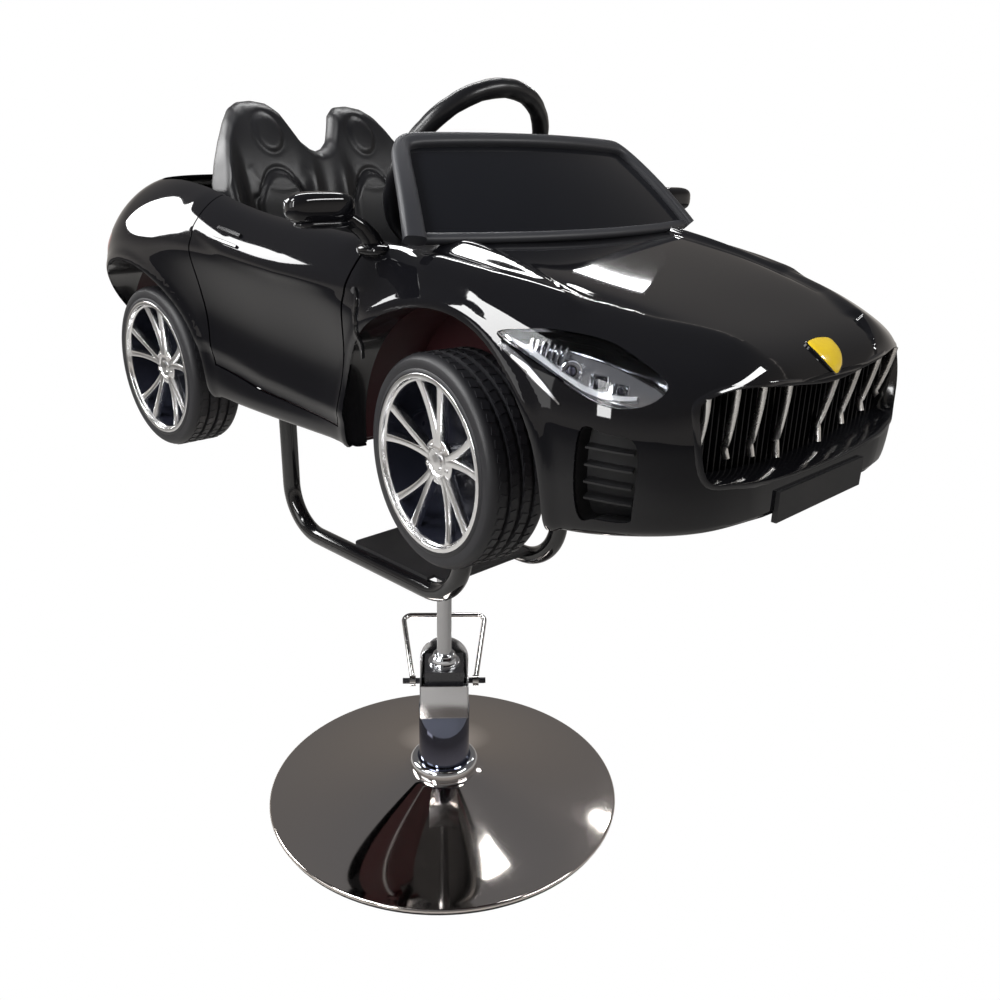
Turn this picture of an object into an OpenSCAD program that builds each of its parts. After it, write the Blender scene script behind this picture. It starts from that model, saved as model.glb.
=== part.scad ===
/* [Base and pump] */
// Radius of the round base
base_r = 300; // [280:5:320]
// Height of the base cover's rim
rim_h = 12; // [11:1:16]
// Rise of the base cover from its rim to the collar
cover_rise = 43; // [36:1:52]
// Thickness of the base cover's sheet
cover_t = 2.5; // [2:0.5:3]
// Thickness of the rubber floor pad
foot_t = 3.5; // [3:0.5:4]
// Radius of the outer pump tube
tube_r = 43; // [41:1:46]
// Wall of the outer pump tube
tube_wall = 3; // [2:0.5:4]
// Height of the outer pump tube's top over the floor
tube_top = 176; // [170:1:185]
// Outer radius of the pump barrel
barrel_r = 27; // [26:0.5:29]
// Radius of the pump barrel's bore
barrel_bore_r = 22; // [20:0.5:23]
// Height of the pump barrel's top over the floor
barrel_top = 258; // [254:1:264]
// Radius of the piston rod
rod_r = 12; // [10:0.5:13]
// Turn of the pump about the column
pump_turn = -41.7; // [-60:0.1:-20]
// Width of the pump bracket
bracket_w = 80; // [78:1:86]
// Height of the pump bracket's walls
bracket_h = 61; // [58:1:66]
// Thickness of the pump bracket's sheet
bracket_t = 3; // [2:0.5:3.5]
// Length of the foot pedal from its shaft
pedal_l = 165; // [150:1:180]
// Width of the foot pedal at its far bar, centre to centre
pedal_w = 152; // [146:1:170]
// Radius of the foot pedal's wire
pedal_wire_r = 4.5; // [4:0.5:5.5]
// Rise of the foot pedal over level at rest
pedal_rise = 15.8; // [14:0.1:18]
/* [Carrier frame] */
// Radius of the bent frame tubes
frame_r = 14; // [12:0.5:15]
// Distance between the two frame tubes' centre lines
frame_gap = 200; // [190:2:216]
// Bend radius of the frame tubes' centre lines
frame_bend = 75; // [65:1:85]
// Place of the frame's rear legs behind the column
frame_back = 272; // [262:1:280]
// Place of the frame's front legs ahead of the column
frame_front = 150; // [146:1:156]
// Height of the mounting plate's underside over the floor
plate_z = 464.5; // [460:0.5:470]
// Thickness of the mounting plate
plate_t = 5; // [4:0.5:6]
// Length of the mounting plate
plate_l = 212; // [200:2:230]
/* [Car body] */
// Length of the car body
car_l = 1110; // [1090:5:1130]
// Half of the car body's greatest width
body_half = 306; // [302:1:312]
// Height of the body's datum line over the floor
body_z = 700; // [698:1:704]
// Height of the body over its datum line
body_h = 316; // [310:1:322]
// Place of the nose ahead of the column
nose_out = 596; // [590:1:602]
// Wall of the moulded body shells
shell_wall = 3; // [2.5:0.5:4]
// Gap round each door
door_gap = 3.5; // [3:0.5:4.5]
// Depth of the doors' moulded edge
door_depth = 14; // [12:1:15]
/* [Running gear] */
// Radius of the tyres
tyre_r = 120; // [116:1:122]
// Width of the tyres
tyre_w = 80; // [74:1:82]
// Radius of the rims' bright lip
rim_r = 99.2; // [94:0.2:102]
// Height of the wheel centres over the floor
axle_z = 729.5; // [727:0.5:732]
// Radius of the axles
axle_r = 6; // [5:0.5:7]
// Distance between the outer faces of the two wheels of an axle
track = 558; // [552:1:564]
// Place of the front kingpins ahead of the column
king_out = 294.5; // [290:0.5:299]
// Place of the rear axle behind the column
rear_axle_back = 348.6; // [345:0.2:353]
// Turn of the front wheels at rest
steer_rest = -7.6; // [-9:0.1:-6]
// Radius of the front wheel arches
front_arch_r = 163; // [160:1:166]
// Radius of the rear wheel arches
rear_arch_r = 156; // [153:1:160]
/* [Cabin] */
// Radius of the steering wheel to its outside
wheel_r = 138; // [130:1:142]
// Radius of the steering wheel's grip
grip_r = 12.5; // [11:0.5:14]
// Place of the steering wheel to the car's left of the middle
wheel_side = 62; // [56:1:68]
// Height of the steering wheel's centre over the floor
wheel_z = 1022; // [1016:1:1028]
// Lean of the steering column over level
column_lean = 35; // [34:0.5:36]
// Width of the seat
seat_w = 300; // [280:2:304]
// Height of the seat back's top over the floor
seat_top = 1109; // [1100:1:1120]

/* [Hidden] */
$fn = 64;
// Overrun of every cut
over = 1;
// Clearance of a running shaft in its bore
run_gap = 0.05;
// Clearance between fixed pieces that lie close
seat_gap = 0.3;
// Sides of the round pieces inside a hull
hull_fn = 16;

// Ballast plate and flange
ballast_t = rim_h - cover_t - foot_t;
ballast_top = foot_t + ballast_t;
skirt_gap = 1.5;
flange_r = 75;
flange_t = 6;
flange_bolt_r = 4;
flange_bolt_circle_r = 60;
bolt_head_h = 5;
bolt_head_share = 1.6;
bolt_clear = 0.2;
bolt_count = 4;
// Base cover and collar
neck_r = 60;
collar_h = 20;
collar_r = 58;
collar_round = 5;
cover_curve = 1.6;
cover_steps = 12;
// Gland, head and plunger
gland_r = 20;
gland_h = 18;
gland_sink = 12;
gland_flange_r = 26;
gland_flange_h = 4;
barrel_floor_t = 8;
head_w = 64;
head_front = 36;
head_back = 28;
plunger_r = 7;
plunger_barrel_r = 10;
plunger_back = 56;
plunger_barrel_drop = 26;
plunger_barrel_rise = 6;
plunger_l = 28;
// Bracket, shaft and pedal
bracket_front = 45;
bracket_back = 66;
dome_r = 42;
dome_z = 228;
shaft_r = 5;
shaft_l = 142;
shaft_back = 36;
shaft_z = 200;
finger_r = 4;
finger_w = 10;
finger_boss_r = 7.5;
pedal_near_w = 108;
pedal_bend = 14;
pedal_eye_r = 9;
pedal_eye_w = 10;
// Piston and rod
piston_h = 26;
piston_z = 196;
seal_h = 5;
seal_depth = 3;
rod_neck_r = 8;
rod_top = 455;
rod_neck_h = 40;
// Plate, frame, straps
hub_r = 24;
hub_h = 32.5;
plate_edge_r = 12;
strap_t = 4;
strap_w = 40;
strap_l = 300;
frame_bolt_r = 4;
frame_bolt_shares = [-.40, -.05, .55];
// Body station table: length share from the nose, half-width share, underside share, top share, form number
station_shares = [[0, .46, .05, .468, 0], [.007, .62, .044, .516, 0], [.031, .756, .03, .57, 0],
  [.077, .857, .005, .617, 0], [.14, .907, -.03, .677, .1], [.222, .925, -.01, .74, .8],
  [.303, .925, .02, .797, 1], [.384, .928, .025, .842, 1.5], [.474, .938, .025, .861, 2],
  [.573, .948, .025, .873, 2], [.663, .961, .03, .918, 2], [.735, .98, .044, .975, 2.5],
  [.816, 1, .057, 1, 3], [.888, .997, .082, .965, 3], [.947, .94, .12, .896, 3.4],
  [.987, .80, .158, .81, 4], [1, .60, .184, .728, 4]];
// Body section forms, from the turned-in lower edge to the middle: width share, height share
form_shares = [
  // Nose
  [[.80, 0], [.92, 0], [.975, .09], [1, .25], [1, .40], [1, .53], [.996, .60], [.966, .76], [.897, .89],
    [.76, .955], [.57, 1.005], [.53, 1.015], [0, 1]],
  // Front wing
  [[.85, 0], [.936, 0], [.955, .09], [.974, .24], [.99, .41], [1, .585], [.996, .67], [.956, .815],
    [.887, .935], [.81, .955], [.70, .985], [.66, 1.005], [0, 1]],
  // Door
  [[.83, 0], [.91, 0], [.924, .075], [.90, .213], [.915, .48], [1, .72], [.997, .77], [.94, .86],
    [.868, .945], [.78, .963], [.66, .978], [.62, .98], [0, 1]],
  // Haunch
  [[.785, 0], [.877, 0], [.92, .083], [.967, .26], [.998, .49], [1, .63], [.993, .693], [.925, .842],
    [.792, .964], [.675, .988], [.52, .994], [.48, .995], [0, 1]],
  // Tail
  [[.70, 0], [.84, 0], [.915, .095], [.986, .285], [1.01, .487], [1, .603], [.989, .672], [.906, .825],
    [.78, .94], [.64, .98], [.50, .992], [.46, .994], [0, 1]]];
// Steps of the body grid between two stations and over the rows of a section
station_steps = 3;
row_steps = 18;
// Side views of the cut-outs: length share from the nose, height share over the datum line
lamp_shares = [[.196, .582], [.169, .606], [.144, .611], [.096, .585], [.046, .50], [.055, .437],
  [.087, .430], [.1405, .503]];
intake_shares = [[.100, .345], [.078, .350], [.057, .338], [.052, .26], [.055, .12], [.060, .082],
  [.085, .078], [.100, .088]];
tail_lamp_shares = [[.905, .70], [.945, .715], [.965, .70], [.975, .66], [.972, .60], [.955, .575],
  [.925, .60], [.908, .64]];
// Front view of the grille: half-width share, height share over the datum line
grille_shares = [[0, .446], [.30, .472], [.516, .488], [.64, .465], [.68, .41], [.65, .225], [.52, .190],
  [.26, .160], [0, .152]];
// Side view of a door: length share from the nose, height share over the datum line
door_shares = [[.398, .82], [.402, .633], [.4425, .111], [.60, .150], [.688, .206], [.692, .50],
  [.690, 1.05], [.397, 1.05]];
outline_r = 1.5;
insert_wall = 2.5;
insert_lip = 5;
grille_depth = 22;
lamp_depth = 30;
intake_depth = 16;
lens_gap = 0.3;
lamp_inner_share = .45;
grille_reach_share = .1;
under_share = .1;
tail_lens_t = 6;
door_rim = 6;
cockpit_half = 238;
cockpit_front = 225;
cockpit_back = 372;
cockpit_corner = 40;
cockpit_low = 858;
sill_split_z = 734;
bar_pairs = 5;
bar_pitch = 42;
bar_first = 5;
bar_t = 5;
bar_lean_share = .12;
badge_r = 16;
badge_t = 3;
badge_z = 863.1;
badge_lean = 45;
badge_out = 586.6;
number_w = 182;
number_h = 33;
number_t = 6;
number_z = 707;
// Arches and chassis
front_arch_out = 285;
rear_arch_back = 349;
arch_z = 734;
liner_gap = 2;
liner_t = 3;
liner_turn = 6;
liner_tail_turn = 33;
liner_out = 245.6;
tub_half = 155;
floor_t = 3;
floor_half = 235.7;
floor_wing_front = 116;
floor_wing_back = 188;
floor_share = .025;
floor_z = body_z + body_h * floor_share + shell_wall;
floor_front = 140;
floor_back = 205;
front_deck_z = 780;
front_deck_end = 470;
rear_deck_z = 765;
rear_deck_end = 470;
bearing_w = 20;
bearing_h = 34;
// Axle beam, knuckles, tie rod
king_in = 109;
king_side = track / 2 - king_in;
king_pin_r = 5;
knuckle_r = 11;
knuckle_h = 50;
king_gap = 0.5;
ear_t = 6;
ear_r = 12;
beam_h = 19;
beam_w = 20;
beam_drop = 14;
web_t = 6;
beam_reach = 154;
arm_l = 45;
arm_t = 6;
arm_w = 14;
tie_pin_r = 3;
tie_pin_gap = 2;
tie_eye_r = 9;
tie_t = 6;
tie_w = 12;
tie_gap = 0.3;
tongue_w = 34;
tongue_end = 388;
slot_front = 8;
slot_l = 38;
peg_r = 3;
peg_gap = 1.8;
peg_l = 50;
steer_share = .267;
crank_rest = steer_rest / steer_share;
crank_r = 13;
crank_t = 6;
crank_round = 7;
shaft_low = 432;
spacer_w = 30;
spacer_side = 115;
// Wheels
rim_seat_r = 95;
rim_barrel_t = 4;
rim_lip_w = 4;
tyre_round = 12;
hub_boss_r = 16;
hub_cap_r = 27;
hub_cap_t = 6;
hub_cap_sink = 16;
spoke_count = 5;
spoke_w = 7;
spoke_t = 9;
spoke_splay = 13;
spoke_dish = 12;
hub_bore_l = 62;
// Steering column and wheel
column_r = 8;
column_tube_r = 14;
column_tube_gap = 0.05;
column_tube_near = 190;
column_tube_far = 330;
wheel_back = 20;
wheel_hub_r = 36;
wheel_hub_h = 34;
wheel_spoke_w = 26;
wheel_spoke_t = 9;
// Dashboard and windscreen: rear, height and width places
dash_half = 196;
dash_profile = [[-268, 905], [-268, 936], [-226, 943], [-222, 952], [-196, 960], [-168, 952], [-150, 930],
  [-150, 884], [-172, 872], [-205, 890], [-250, 904]];
glass_base = [231, -258, 29, 963];
glass_head = [190, -165, 23, 1052];
glass_t = 4;
screen_bar_r = 9;
screen_steps = 8;
screen_fn = 10;
pillar_foot = [[240, -222], [240, -170]];
pillar_foot_z = 960.3;
pillar_r = 9;
head_rise = 4;
// Seat: back outline as half-width share and height share of the back, from the middle out
seat_back_half = 200;
seat_back_low = 768.3;
seat_back_y = 250;
seat_lean = 13;
seat_curl = 62;
seat_curl_power = 4;
seat_thin_share = .55;
seat_edge_share = .35;
seat_edge_power = 6;
seat_waist_share = .18;
seat_back_t = 58;
seat_narrow_z = 900;
hump_shares = [[0, .796], [.12, .81], [.22, .845], [.30, .92], [.37, .985], [.51, 1], [.66, .985], [.76, .93],
  [.85, .81], [.94, .66], [1, .52]];
seat_rows = 10;
seat_pan_z = 715;
seat_pan_top = 838;
seat_pan_front = -24;
seat_pan_back = 196;
seat_pan_steps = 12;
seat_crown = 10;
seat_edge = 22;
seat_bulge_power = 8;
seat_taper_share = .04;
seat_foot_share = .96;
// Mirrors
mirror_side = 311;
mirror_y = -152;
mirror_z = 991;
mirror_size = [41, 13, 16];
mirror_foot = [255, -162, 950];
mirror_stalk_r = 7;
// Door hinges
hinge_side = 272.5;
hinge_y = -134;
hinge_z = 862;
hinge_h = 30;
hinge_barrel_r = 4;
hinge_pin_r = 2;
hinge_leaf_t = 2;
hinge_leaf_l = 30;
hinge_leaf_out = 1.6;
hinge_arm_t = 3;
hinge_arm_w = 8;
hinge_arm_side = 250;
hinge_arm_front = 168;
hinge_arm_out = 275.5;
hinge_notch = 14;
hinge_notch_rise = 5;
hinge_skin_side = 277.4;

black = [.03, .03, .035];
chrome = [.8, .8, .82];
steel = [.55, .56, .58];
charcoal = [.13, .13, .14];

// A value on a smooth curve through a list, at place s counted in list steps
function entry(list, i) = i < 0 ? 2 * list[0] - list[1]
  : i >= len(list) ? 2 * list[len(list) - 1] - list[len(list) - 2] : list[i];
function blend4(a, b, c, d, t) = (pow(1 - t, 3) * a + (3 * pow(t, 3) - 6 * pow(t, 2) + 4) * b
  + (3 * t + 3 * pow(t, 2) - 3 * pow(t, 3) + 1) * c + pow(t, 3) * d) / 6;
function curve(list, s) = let(i = min(floor(s), len(list) - 2))
  blend4(entry(list, i - 1), entry(list, i), entry(list, i + 1), entry(list, i + 2), s - i);

// Body surface: each ring is a section of the body across the car
nose_y = -nose_out;
last_station = len(station_shares) - 1;
last_row = len(form_shares[0]) - 1;
function form_row(f, j) = let(i = min(floor(f), len(form_shares) - 2))
  form_shares[i][j] * (1 - f + i) + form_shares[i + 1][j] * (f - i);
function station_point(i, j) = let(s = station_shares[i], p = form_row(s[4], j))
  [body_half * s[1] * p[0], nose_y + car_l * s[0], body_z + body_h * (s[2] + p[1] * (s[3] - s[2]))];
row_nets = [for (j = [0:last_row]) [for (i = [0:last_station]) station_point(i, j)]];
station_net = [for (s = station_shares) [body_half * s[1], body_z + body_h * s[2], body_z + body_h * s[3]]];
function half_ring(u) = let(c = [for (net = row_nets) curve(net, u)],
    m = concat(c, [[-c[last_row - 1][0], c[last_row - 1][1], c[last_row - 1][2]]]))
  [for (k = [0:row_steps]) let(v = last_row * k / row_steps, i = min(floor(v), last_row - 1))
    blend4(entry(m, i - 1), m[i], m[i + 1], m[i + 2], v - i)];
ring_places = [for (k = [0:last_station * station_steps]) k / station_steps];
half_rings = [for (u = ring_places) half_ring(u)];
ring_frames = [for (u = ring_places) curve(station_net, u)];

// The body as a closed solid, drawn in by a wall; drawn in, it runs out through the underside
module body_solid(inset) {
  drop = inset > 0 ? shell_wall + over : 0;
  rings = [for (k = [0:len(half_rings) - 1]) let(f = ring_frames[k], wide = (f[0] - inset) / f[0],
      tall = (f[2] - f[1] - 2 * inset) / (f[2] - f[1]),
      long = (car_l - 2 * inset) / car_l, mid = nose_y + car_l / 2,
      half = [for (p = half_rings[k])
        [p[0] * wide, mid + (p[1] - mid) * long, f[1] + inset + (p[2] - f[1]) * tall]],
      low = drop > 0 ? [[half[0][0], half[0][1], half[0][2] - inset - drop]] : [],
      right = [for (p = concat(low, half)) [-p[0], p[1], p[2]]],
      left = [for (i = [len(right) - 2:-1:0]) [-right[i][0], right[i][1], right[i][2]]])
    concat(right, left)];
  n = len(rings[0]);
  m = len(rings);
  polyhedron([for (r = rings) for (p = r) p], concat(
    [for (k = [0:m - 2]) for (i = [0:n - 1]) let(a = k * n + i, b = k * n + (i + 1) % n)
      each [[a, b + n, b], [a, a + n, b + n]]],
    [[for (i = [0:n - 1]) i], [for (i = [n - 1:-1:0]) (m - 1) * n + i]]));
}
module body_wall(from, to) difference() {
  body_solid(from);
  body_solid(to);
}

// A plate with a rounded outline, as wedges from its middle; the special value grow widens it
module soft_outline(points) {
  for (i = [0:len(points) - 1]) hull() {
    translate(middle_of(points)) circle(outline_r + $grow, $fn = hull_fn);
    translate(points[i]) circle(outline_r + $grow, $fn = hull_fn);
    translate(points[(i + 1) % len(points)]) circle(outline_r + $grow, $fn = hull_fn);
  }
}
function middle_of(points) =
  [for (k = [0:1]) (max([for (p = points) p[k]]) + min([for (p = points) p[k]])) / 2];
function drawn_in(points, d) = let(m = middle_of(points), hi = [for (k = [0:1]) max([for (p = points) p[k]]) - m[k]])
  [for (p = points) [for (k = [0:1]) p[k] - (p[k] - m[k]) * d / hi[k]]];
function on_side(shares) = [for (p = shares) [nose_y + car_l * p[0], body_z + body_h * p[1]]];
module side_prism(points, from, to) both_sides() rotate([90, 0, 90]) translate([0, 0, from])
  linear_extrude(to - from) soft_outline(points);
module both_sides() {
  children();
  mirror([1, 0, 0]) children();
}
side_reach = body_half + over;
lamp_inner = body_half * lamp_inner_share;
module lamp_prism() side_prism(on_side(lamp_shares), lamp_inner, side_reach);
module intake_prism() side_prism(on_side(intake_shares), lamp_inner, side_reach);
module tail_lamp_prism() side_prism(on_side(tail_lamp_shares), lamp_inner, side_reach);
grille_right = [for (p = grille_shares) [body_half * p[0], body_z + body_h * p[1]]];
grille_points = concat(grille_right,
  [for (i = [len(grille_right) - 2:-1:1]) [-grille_right[i][0], grille_right[i][1]]]);
grille_reach = car_l * grille_reach_share;
module grille_prism() translate([0, nose_y + grille_reach, 0]) rotate([90, 0, 0])
  linear_extrude(grille_reach + over) soft_outline(grille_points);
door_points = on_side(door_shares);
module door_prism() side_prism(door_points, cockpit_half, side_reach);

// A moulded insert: a lip behind the shell round a sunken pan
module sunken_pan(depth) difference() {
  intersection() {
    body_wall(shell_wall, depth + insert_wall);
    let($grow = insert_lip) children();
  }
  intersection() {
    body_wall(0, depth);
    let($grow = 0) children();
  }
  difference() {
    body_solid(shell_wall + insert_wall);
    let($grow = insert_wall) children();
  }
}
module arch_cut(y, r) translate([0, y, arch_z]) rotate([0, 90, 0])
  cylinder(r = r, h = 2 * side_reach, center = true);
module cockpit_cut() hull() {
  for (x = [-1, 1], y = [-cockpit_front + cockpit_corner, cockpit_back - cockpit_corner])
    translate([x * (cockpit_half - cockpit_corner), y, cockpit_low])
      cylinder(r = cockpit_corner, h = body_h, $fn = 2 * hull_fn);
}
// Side view of what lies behind the front shell: under the doors' bottoms it reaches the front arch
tail_y = nose_y + car_l + over;
under_z = body_z - body_h * under_share;
module rear_region() rotate([90, 0, 90]) translate([0, 0, -side_reach]) linear_extrude(2 * side_reach)
  polygon([door_points[7], door_points[1], door_points[2], [door_points[2][0], sill_split_z],
    [-front_arch_out, sill_split_z], [-front_arch_out, under_z], [tail_y, under_z], [tail_y, door_points[7][1]]]);

// Base
foot_out = base_r - cover_t - skirt_gap;
module floor_pad() color([.05, .05, .05]) cylinder(r = foot_out, h = foot_t);
module bolt_ring(r, count) for (i = [0:count - 1]) rotate([0, 0, 360 * (i + 1 / 2) / count])
  translate([r, 0, 0]) children();
module ballast_plate() color([.2, .2, .21]) difference() {
  translate([0, 0, foot_t]) cylinder(r = foot_out, h = ballast_t);
  bolt_ring(flange_bolt_circle_r, bolt_count) translate([0, 0, -over])
    cylinder(r = flange_bolt_r + bolt_clear, h = ballast_top + 2 * over);
}
cover_line = [for (k = [0:cover_steps]) let(t = k / cover_steps)
  [base_r - (base_r - neck_r) * t, rim_h + cover_rise * pow(t, cover_curve)]];
module base_cover() color(chrome) rotate_extrude($fn = 2 * $fn) polygon(concat([[base_r, over]], cover_line,
  [[tube_r + seat_gap, rim_h + cover_rise], [tube_r + seat_gap, rim_h + cover_rise - cover_t]],
  [for (i = [cover_steps:-1:1]) [cover_line[i][0], cover_line[i][1] - cover_t]],
  [[base_r - cover_t, rim_h - cover_t], [base_r - cover_t, over]]));
module pump_tube() color(chrome) difference() {
  union() {
    translate([0, 0, ballast_top]) cylinder(r = flange_r, h = flange_t);
    translate([0, 0, ballast_top]) cylinder(r = tube_r, h = tube_top - ballast_top);
  }
  translate([0, 0, ballast_top - over]) cylinder(r = tube_r - tube_wall, h = tube_top);
  bolt_ring(flange_bolt_circle_r, bolt_count) translate([0, 0, ballast_top - over])
    cylinder(r = flange_bolt_r + bolt_clear, h = flange_t + 2 * over);
}
module pump_bolts() color(steel) bolt_ring(flange_bolt_circle_r, bolt_count) {
  translate([0, 0, foot_t]) cylinder(r = flange_bolt_r, h = ballast_t + flange_t);
  translate([0, 0, ballast_top + flange_t])
    cylinder(r = flange_bolt_r * bolt_head_share, h = bolt_head_h, $fn = 6);
}
collar_z = rim_h + cover_rise;
module base_collar() color(chrome) rotate_extrude() difference() {
  translate([tube_r, collar_z]) square([collar_r - tube_r, collar_h]);
  translate([collar_r - collar_round, collar_z + collar_h - collar_round]) difference() {
    square(collar_round + over);
    circle(collar_round);
  }
}

// Pump
module on_pump() rotate([0, 0, pump_turn]) children();
module pump_barrel() color(steel) difference() {
  translate([0, 0, ballast_top]) cylinder(r = barrel_r, h = barrel_top - ballast_top);
  translate([0, 0, ballast_top + barrel_floor_t]) cylinder(r = barrel_bore_r, h = barrel_top);
}
module rod_gland() color(chrome) difference() {
  union() {
    translate([0, 0, barrel_top - gland_sink]) cylinder(r = barrel_bore_r, h = gland_sink);
    translate([0, 0, barrel_top]) cylinder(r = gland_flange_r, h = gland_flange_h);
    translate([0, 0, barrel_top]) cylinder(r = gland_r, h = gland_h);
  }
  cylinder(r = rod_r + run_gap, h = 2 * barrel_top);
}
bracket_top = tube_top + bracket_t;
module pump_head() color(black) on_pump() difference() {
  union() {
    translate([-head_w / 2, -head_front, bracket_top])
      cube([head_w, head_front + head_back, barrel_top - bracket_top]);
    translate([-plunger_barrel_r, 0, bracket_top])
      cube([2 * plunger_barrel_r, plunger_back, plunger_barrel_rise - bracket_t]);
    translate([0, plunger_back, tube_top - plunger_barrel_drop])
      cylinder(r = plunger_barrel_r, h = plunger_barrel_drop + plunger_barrel_rise);
  }
  translate([0, 0, tube_top - over]) cylinder(r = barrel_r, h = barrel_top);
  translate([0, plunger_back, tube_top - plunger_barrel_drop + bracket_t])
    cylinder(r = plunger_r + run_gap, h = barrel_top);
}
module pump_bracket() color(chrome) on_pump() difference() {
  union() {
    translate([-bracket_w / 2, -bracket_front, tube_top])
      cube([bracket_w, bracket_front + bracket_back, bracket_t]);
    translate([-bracket_w / 2, -bracket_front, tube_top]) cube([bracket_w, bracket_t, bracket_h]);
    for (x = [-bracket_w / 2, bracket_w / 2 - bracket_t]) translate([x, -bracket_front, tube_top])
      cube([bracket_t, bracket_front + bracket_back, bracket_h]);
    translate([-dome_r, bracket_back - bracket_t, tube_top]) cube([2 * dome_r, bracket_t, dome_z - tube_top]);
    translate([0, bracket_back, dome_z]) rotate([90, 0, 0]) cylinder(r = dome_r, h = bracket_t);
  }
  translate([0, 0, tube_top - over]) cylinder(r = barrel_r + seat_gap, h = bracket_t + 2 * over);
  translate([0, plunger_back, tube_top - over])
    cylinder(r = plunger_barrel_r + seat_gap, h = plunger_barrel_rise + 2 * over);
  translate([0, shaft_back, shaft_z]) rotate([0, 90, 0])
    cylinder(r = shaft_r + run_gap, h = bracket_w + 2 * over, center = true);
}
module on_shaft() on_pump() translate([0, shaft_back, shaft_z]) children();
module along_x(r, l) rotate([0, 90, 0]) cylinder(r = r, h = l, center = true);
module cross_shaft() color(steel) on_shaft() {
  along_x(shaft_r, shaft_l);
  along_x(finger_boss_r, finger_w);
  translate([-finger_w / 2, 0, -finger_r]) cube([finger_w, plunger_back - shaft_back, 2 * finger_r]);
  translate([0, plunger_back - shaft_back, 0]) along_x(finger_r, finger_w);
}
pedal_splay = atan((pedal_w - pedal_near_w) / 2 / pedal_l);
pedal_turn = 90 + pedal_splay;
pedal_tangent = pedal_bend * tan(pedal_turn / 2);
pedal_leg = pedal_l / cos(pedal_splay) - pedal_tangent;
module pedal_bail() color(chrome) on_shaft() difference() {
  rotate([pedal_rise, 0, 0]) {
    both_sides() {
      translate([pedal_near_w / 2, 0, 0]) {
        along_x(pedal_eye_r, pedal_eye_w);
        rotate([0, 0, -pedal_splay]) {
          rotate([-90, 0, 0]) cylinder(r = pedal_wire_r, h = pedal_leg);
          translate([-pedal_bend, pedal_leg, 0]) rotate_extrude(angle = pedal_turn) translate([pedal_bend, 0])
            circle(pedal_wire_r);
        }
      }
    }
    translate([0, pedal_l, 0]) along_x(pedal_wire_r, pedal_w - 2 * pedal_tangent);
  }
  along_x(shaft_r, pedal_w);
}
finger_low = shaft_z - finger_r - seat_gap;
module pump_plunger() color(steel) on_pump() translate([0, plunger_back, finger_low - plunger_l])
  cylinder(r = plunger_r, h = plunger_l);
module piston() color(steel) difference() {
  translate([0, 0, piston_z]) cylinder(r = barrel_bore_r - run_gap, h = piston_h);
  translate([0, 0, piston_z - over]) cylinder(r = rod_neck_r + run_gap, h = piston_h + 2 * over);
  translate([0, 0, piston_z + (piston_h - seal_h) / 2]) difference() {
    cylinder(r = barrel_r, h = seal_h);
    cylinder(r = barrel_bore_r - seal_depth, h = seal_h);
  }
}
module piston_seal() color(black) translate([0, 0, piston_z + (piston_h - seal_h) / 2]) difference() {
  cylinder(r = barrel_bore_r - run_gap, h = seal_h);
  translate([0, 0, -over]) cylinder(r = barrel_bore_r - seal_depth, h = seal_h + 2 * over);
}

// Carrier: rod, plate and bent tubes
module piston_rod() color(steel) {
  translate([0, 0, piston_z]) cylinder(r = rod_neck_r, h = rod_neck_h);
  translate([0, 0, piston_z + piston_h + run_gap])
    cylinder(r = rod_r, h = rod_top - piston_z - piston_h - run_gap);
}
module mounting_plate() color(black) difference() {
  union() {
    linear_extrude(plate_t) union() {
      square([frame_gap, plate_l - 2 * plate_edge_r], center = true);
      square([frame_gap - 2 * plate_edge_r, plate_l], center = true);
      for (x = [-1, 1], y = [-1, 1])
        translate([x * (frame_gap / 2 - plate_edge_r), y * (plate_l / 2 - plate_edge_r)])
          circle(plate_edge_r);
    }
    translate([0, 0, -hub_h]) cylinder(r = hub_r, h = hub_h);
  }
  translate([0, 0, -hub_h - over]) cylinder(r = rod_r, h = rod_top - plate_z + hub_h + over);
  both_sides() translate([frame_gap / 2 - frame_r - seat_gap, -plate_l / 2 - over, -over])
    cube([2 * frame_r, plate_l / 2 - frame_front + frame_bend + over, plate_t + 2 * over]);
}
module mounting_plate_placed() translate([0, 0, plate_z]) mounting_plate();
strap_z = floor_z - strap_t;
frame_z = plate_z - frame_r;
module frame_tube(side) color(black) translate([side * frame_gap / 2, 0, 0]) {
  translate([0, frame_bend - frame_front, frame_z]) rotate([-90, 0, 0])
    cylinder(r = frame_r, h = frame_back + frame_front - 2 * frame_bend);
  for (end = [[-frame_front, -1], [frame_back, 1]]) {
    translate([0, end[0], frame_z + frame_bend]) cylinder(r = frame_r, h = strap_z - frame_z - frame_bend);
    translate([0, end[0] - end[1] * frame_bend, frame_z + frame_bend]) rotate([0, 90, 0])
      rotate([0, 0, end[1] > 0 ? 0 : -90]) rotate_extrude(angle = 90) translate([frame_bend, 0])
        circle(frame_r);
  }
}
bolt_places = [for (x = [-1, 1], y = frame_bolt_shares) [x * frame_gap / 2, y * frame_back]];
module frame_straps() color(black) both_sides() difference() {
  translate([(frame_gap - strap_w) / 2, -frame_front - strap_w / 2, strap_z])
    cube([strap_w, frame_back + frame_front + strap_w, strap_t]);
  for (p = bolt_places) translate([p[0], p[1], strap_z - over])
    cylinder(r = frame_bolt_r + bolt_clear, h = strap_t + 2 * over);
}
module frame_bolts() color(steel) for (p = bolt_places) translate([p[0], p[1], 0]) {
  translate([0, 0, strap_z - bolt_head_h]) cylinder(r = frame_bolt_r * bolt_head_share, h = bolt_head_h, $fn = 6);
  translate([0, 0, strap_z - bolt_head_h]) cylinder(r = frame_bolt_r, h = bolt_head_h + strap_t + floor_t);
}

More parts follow.
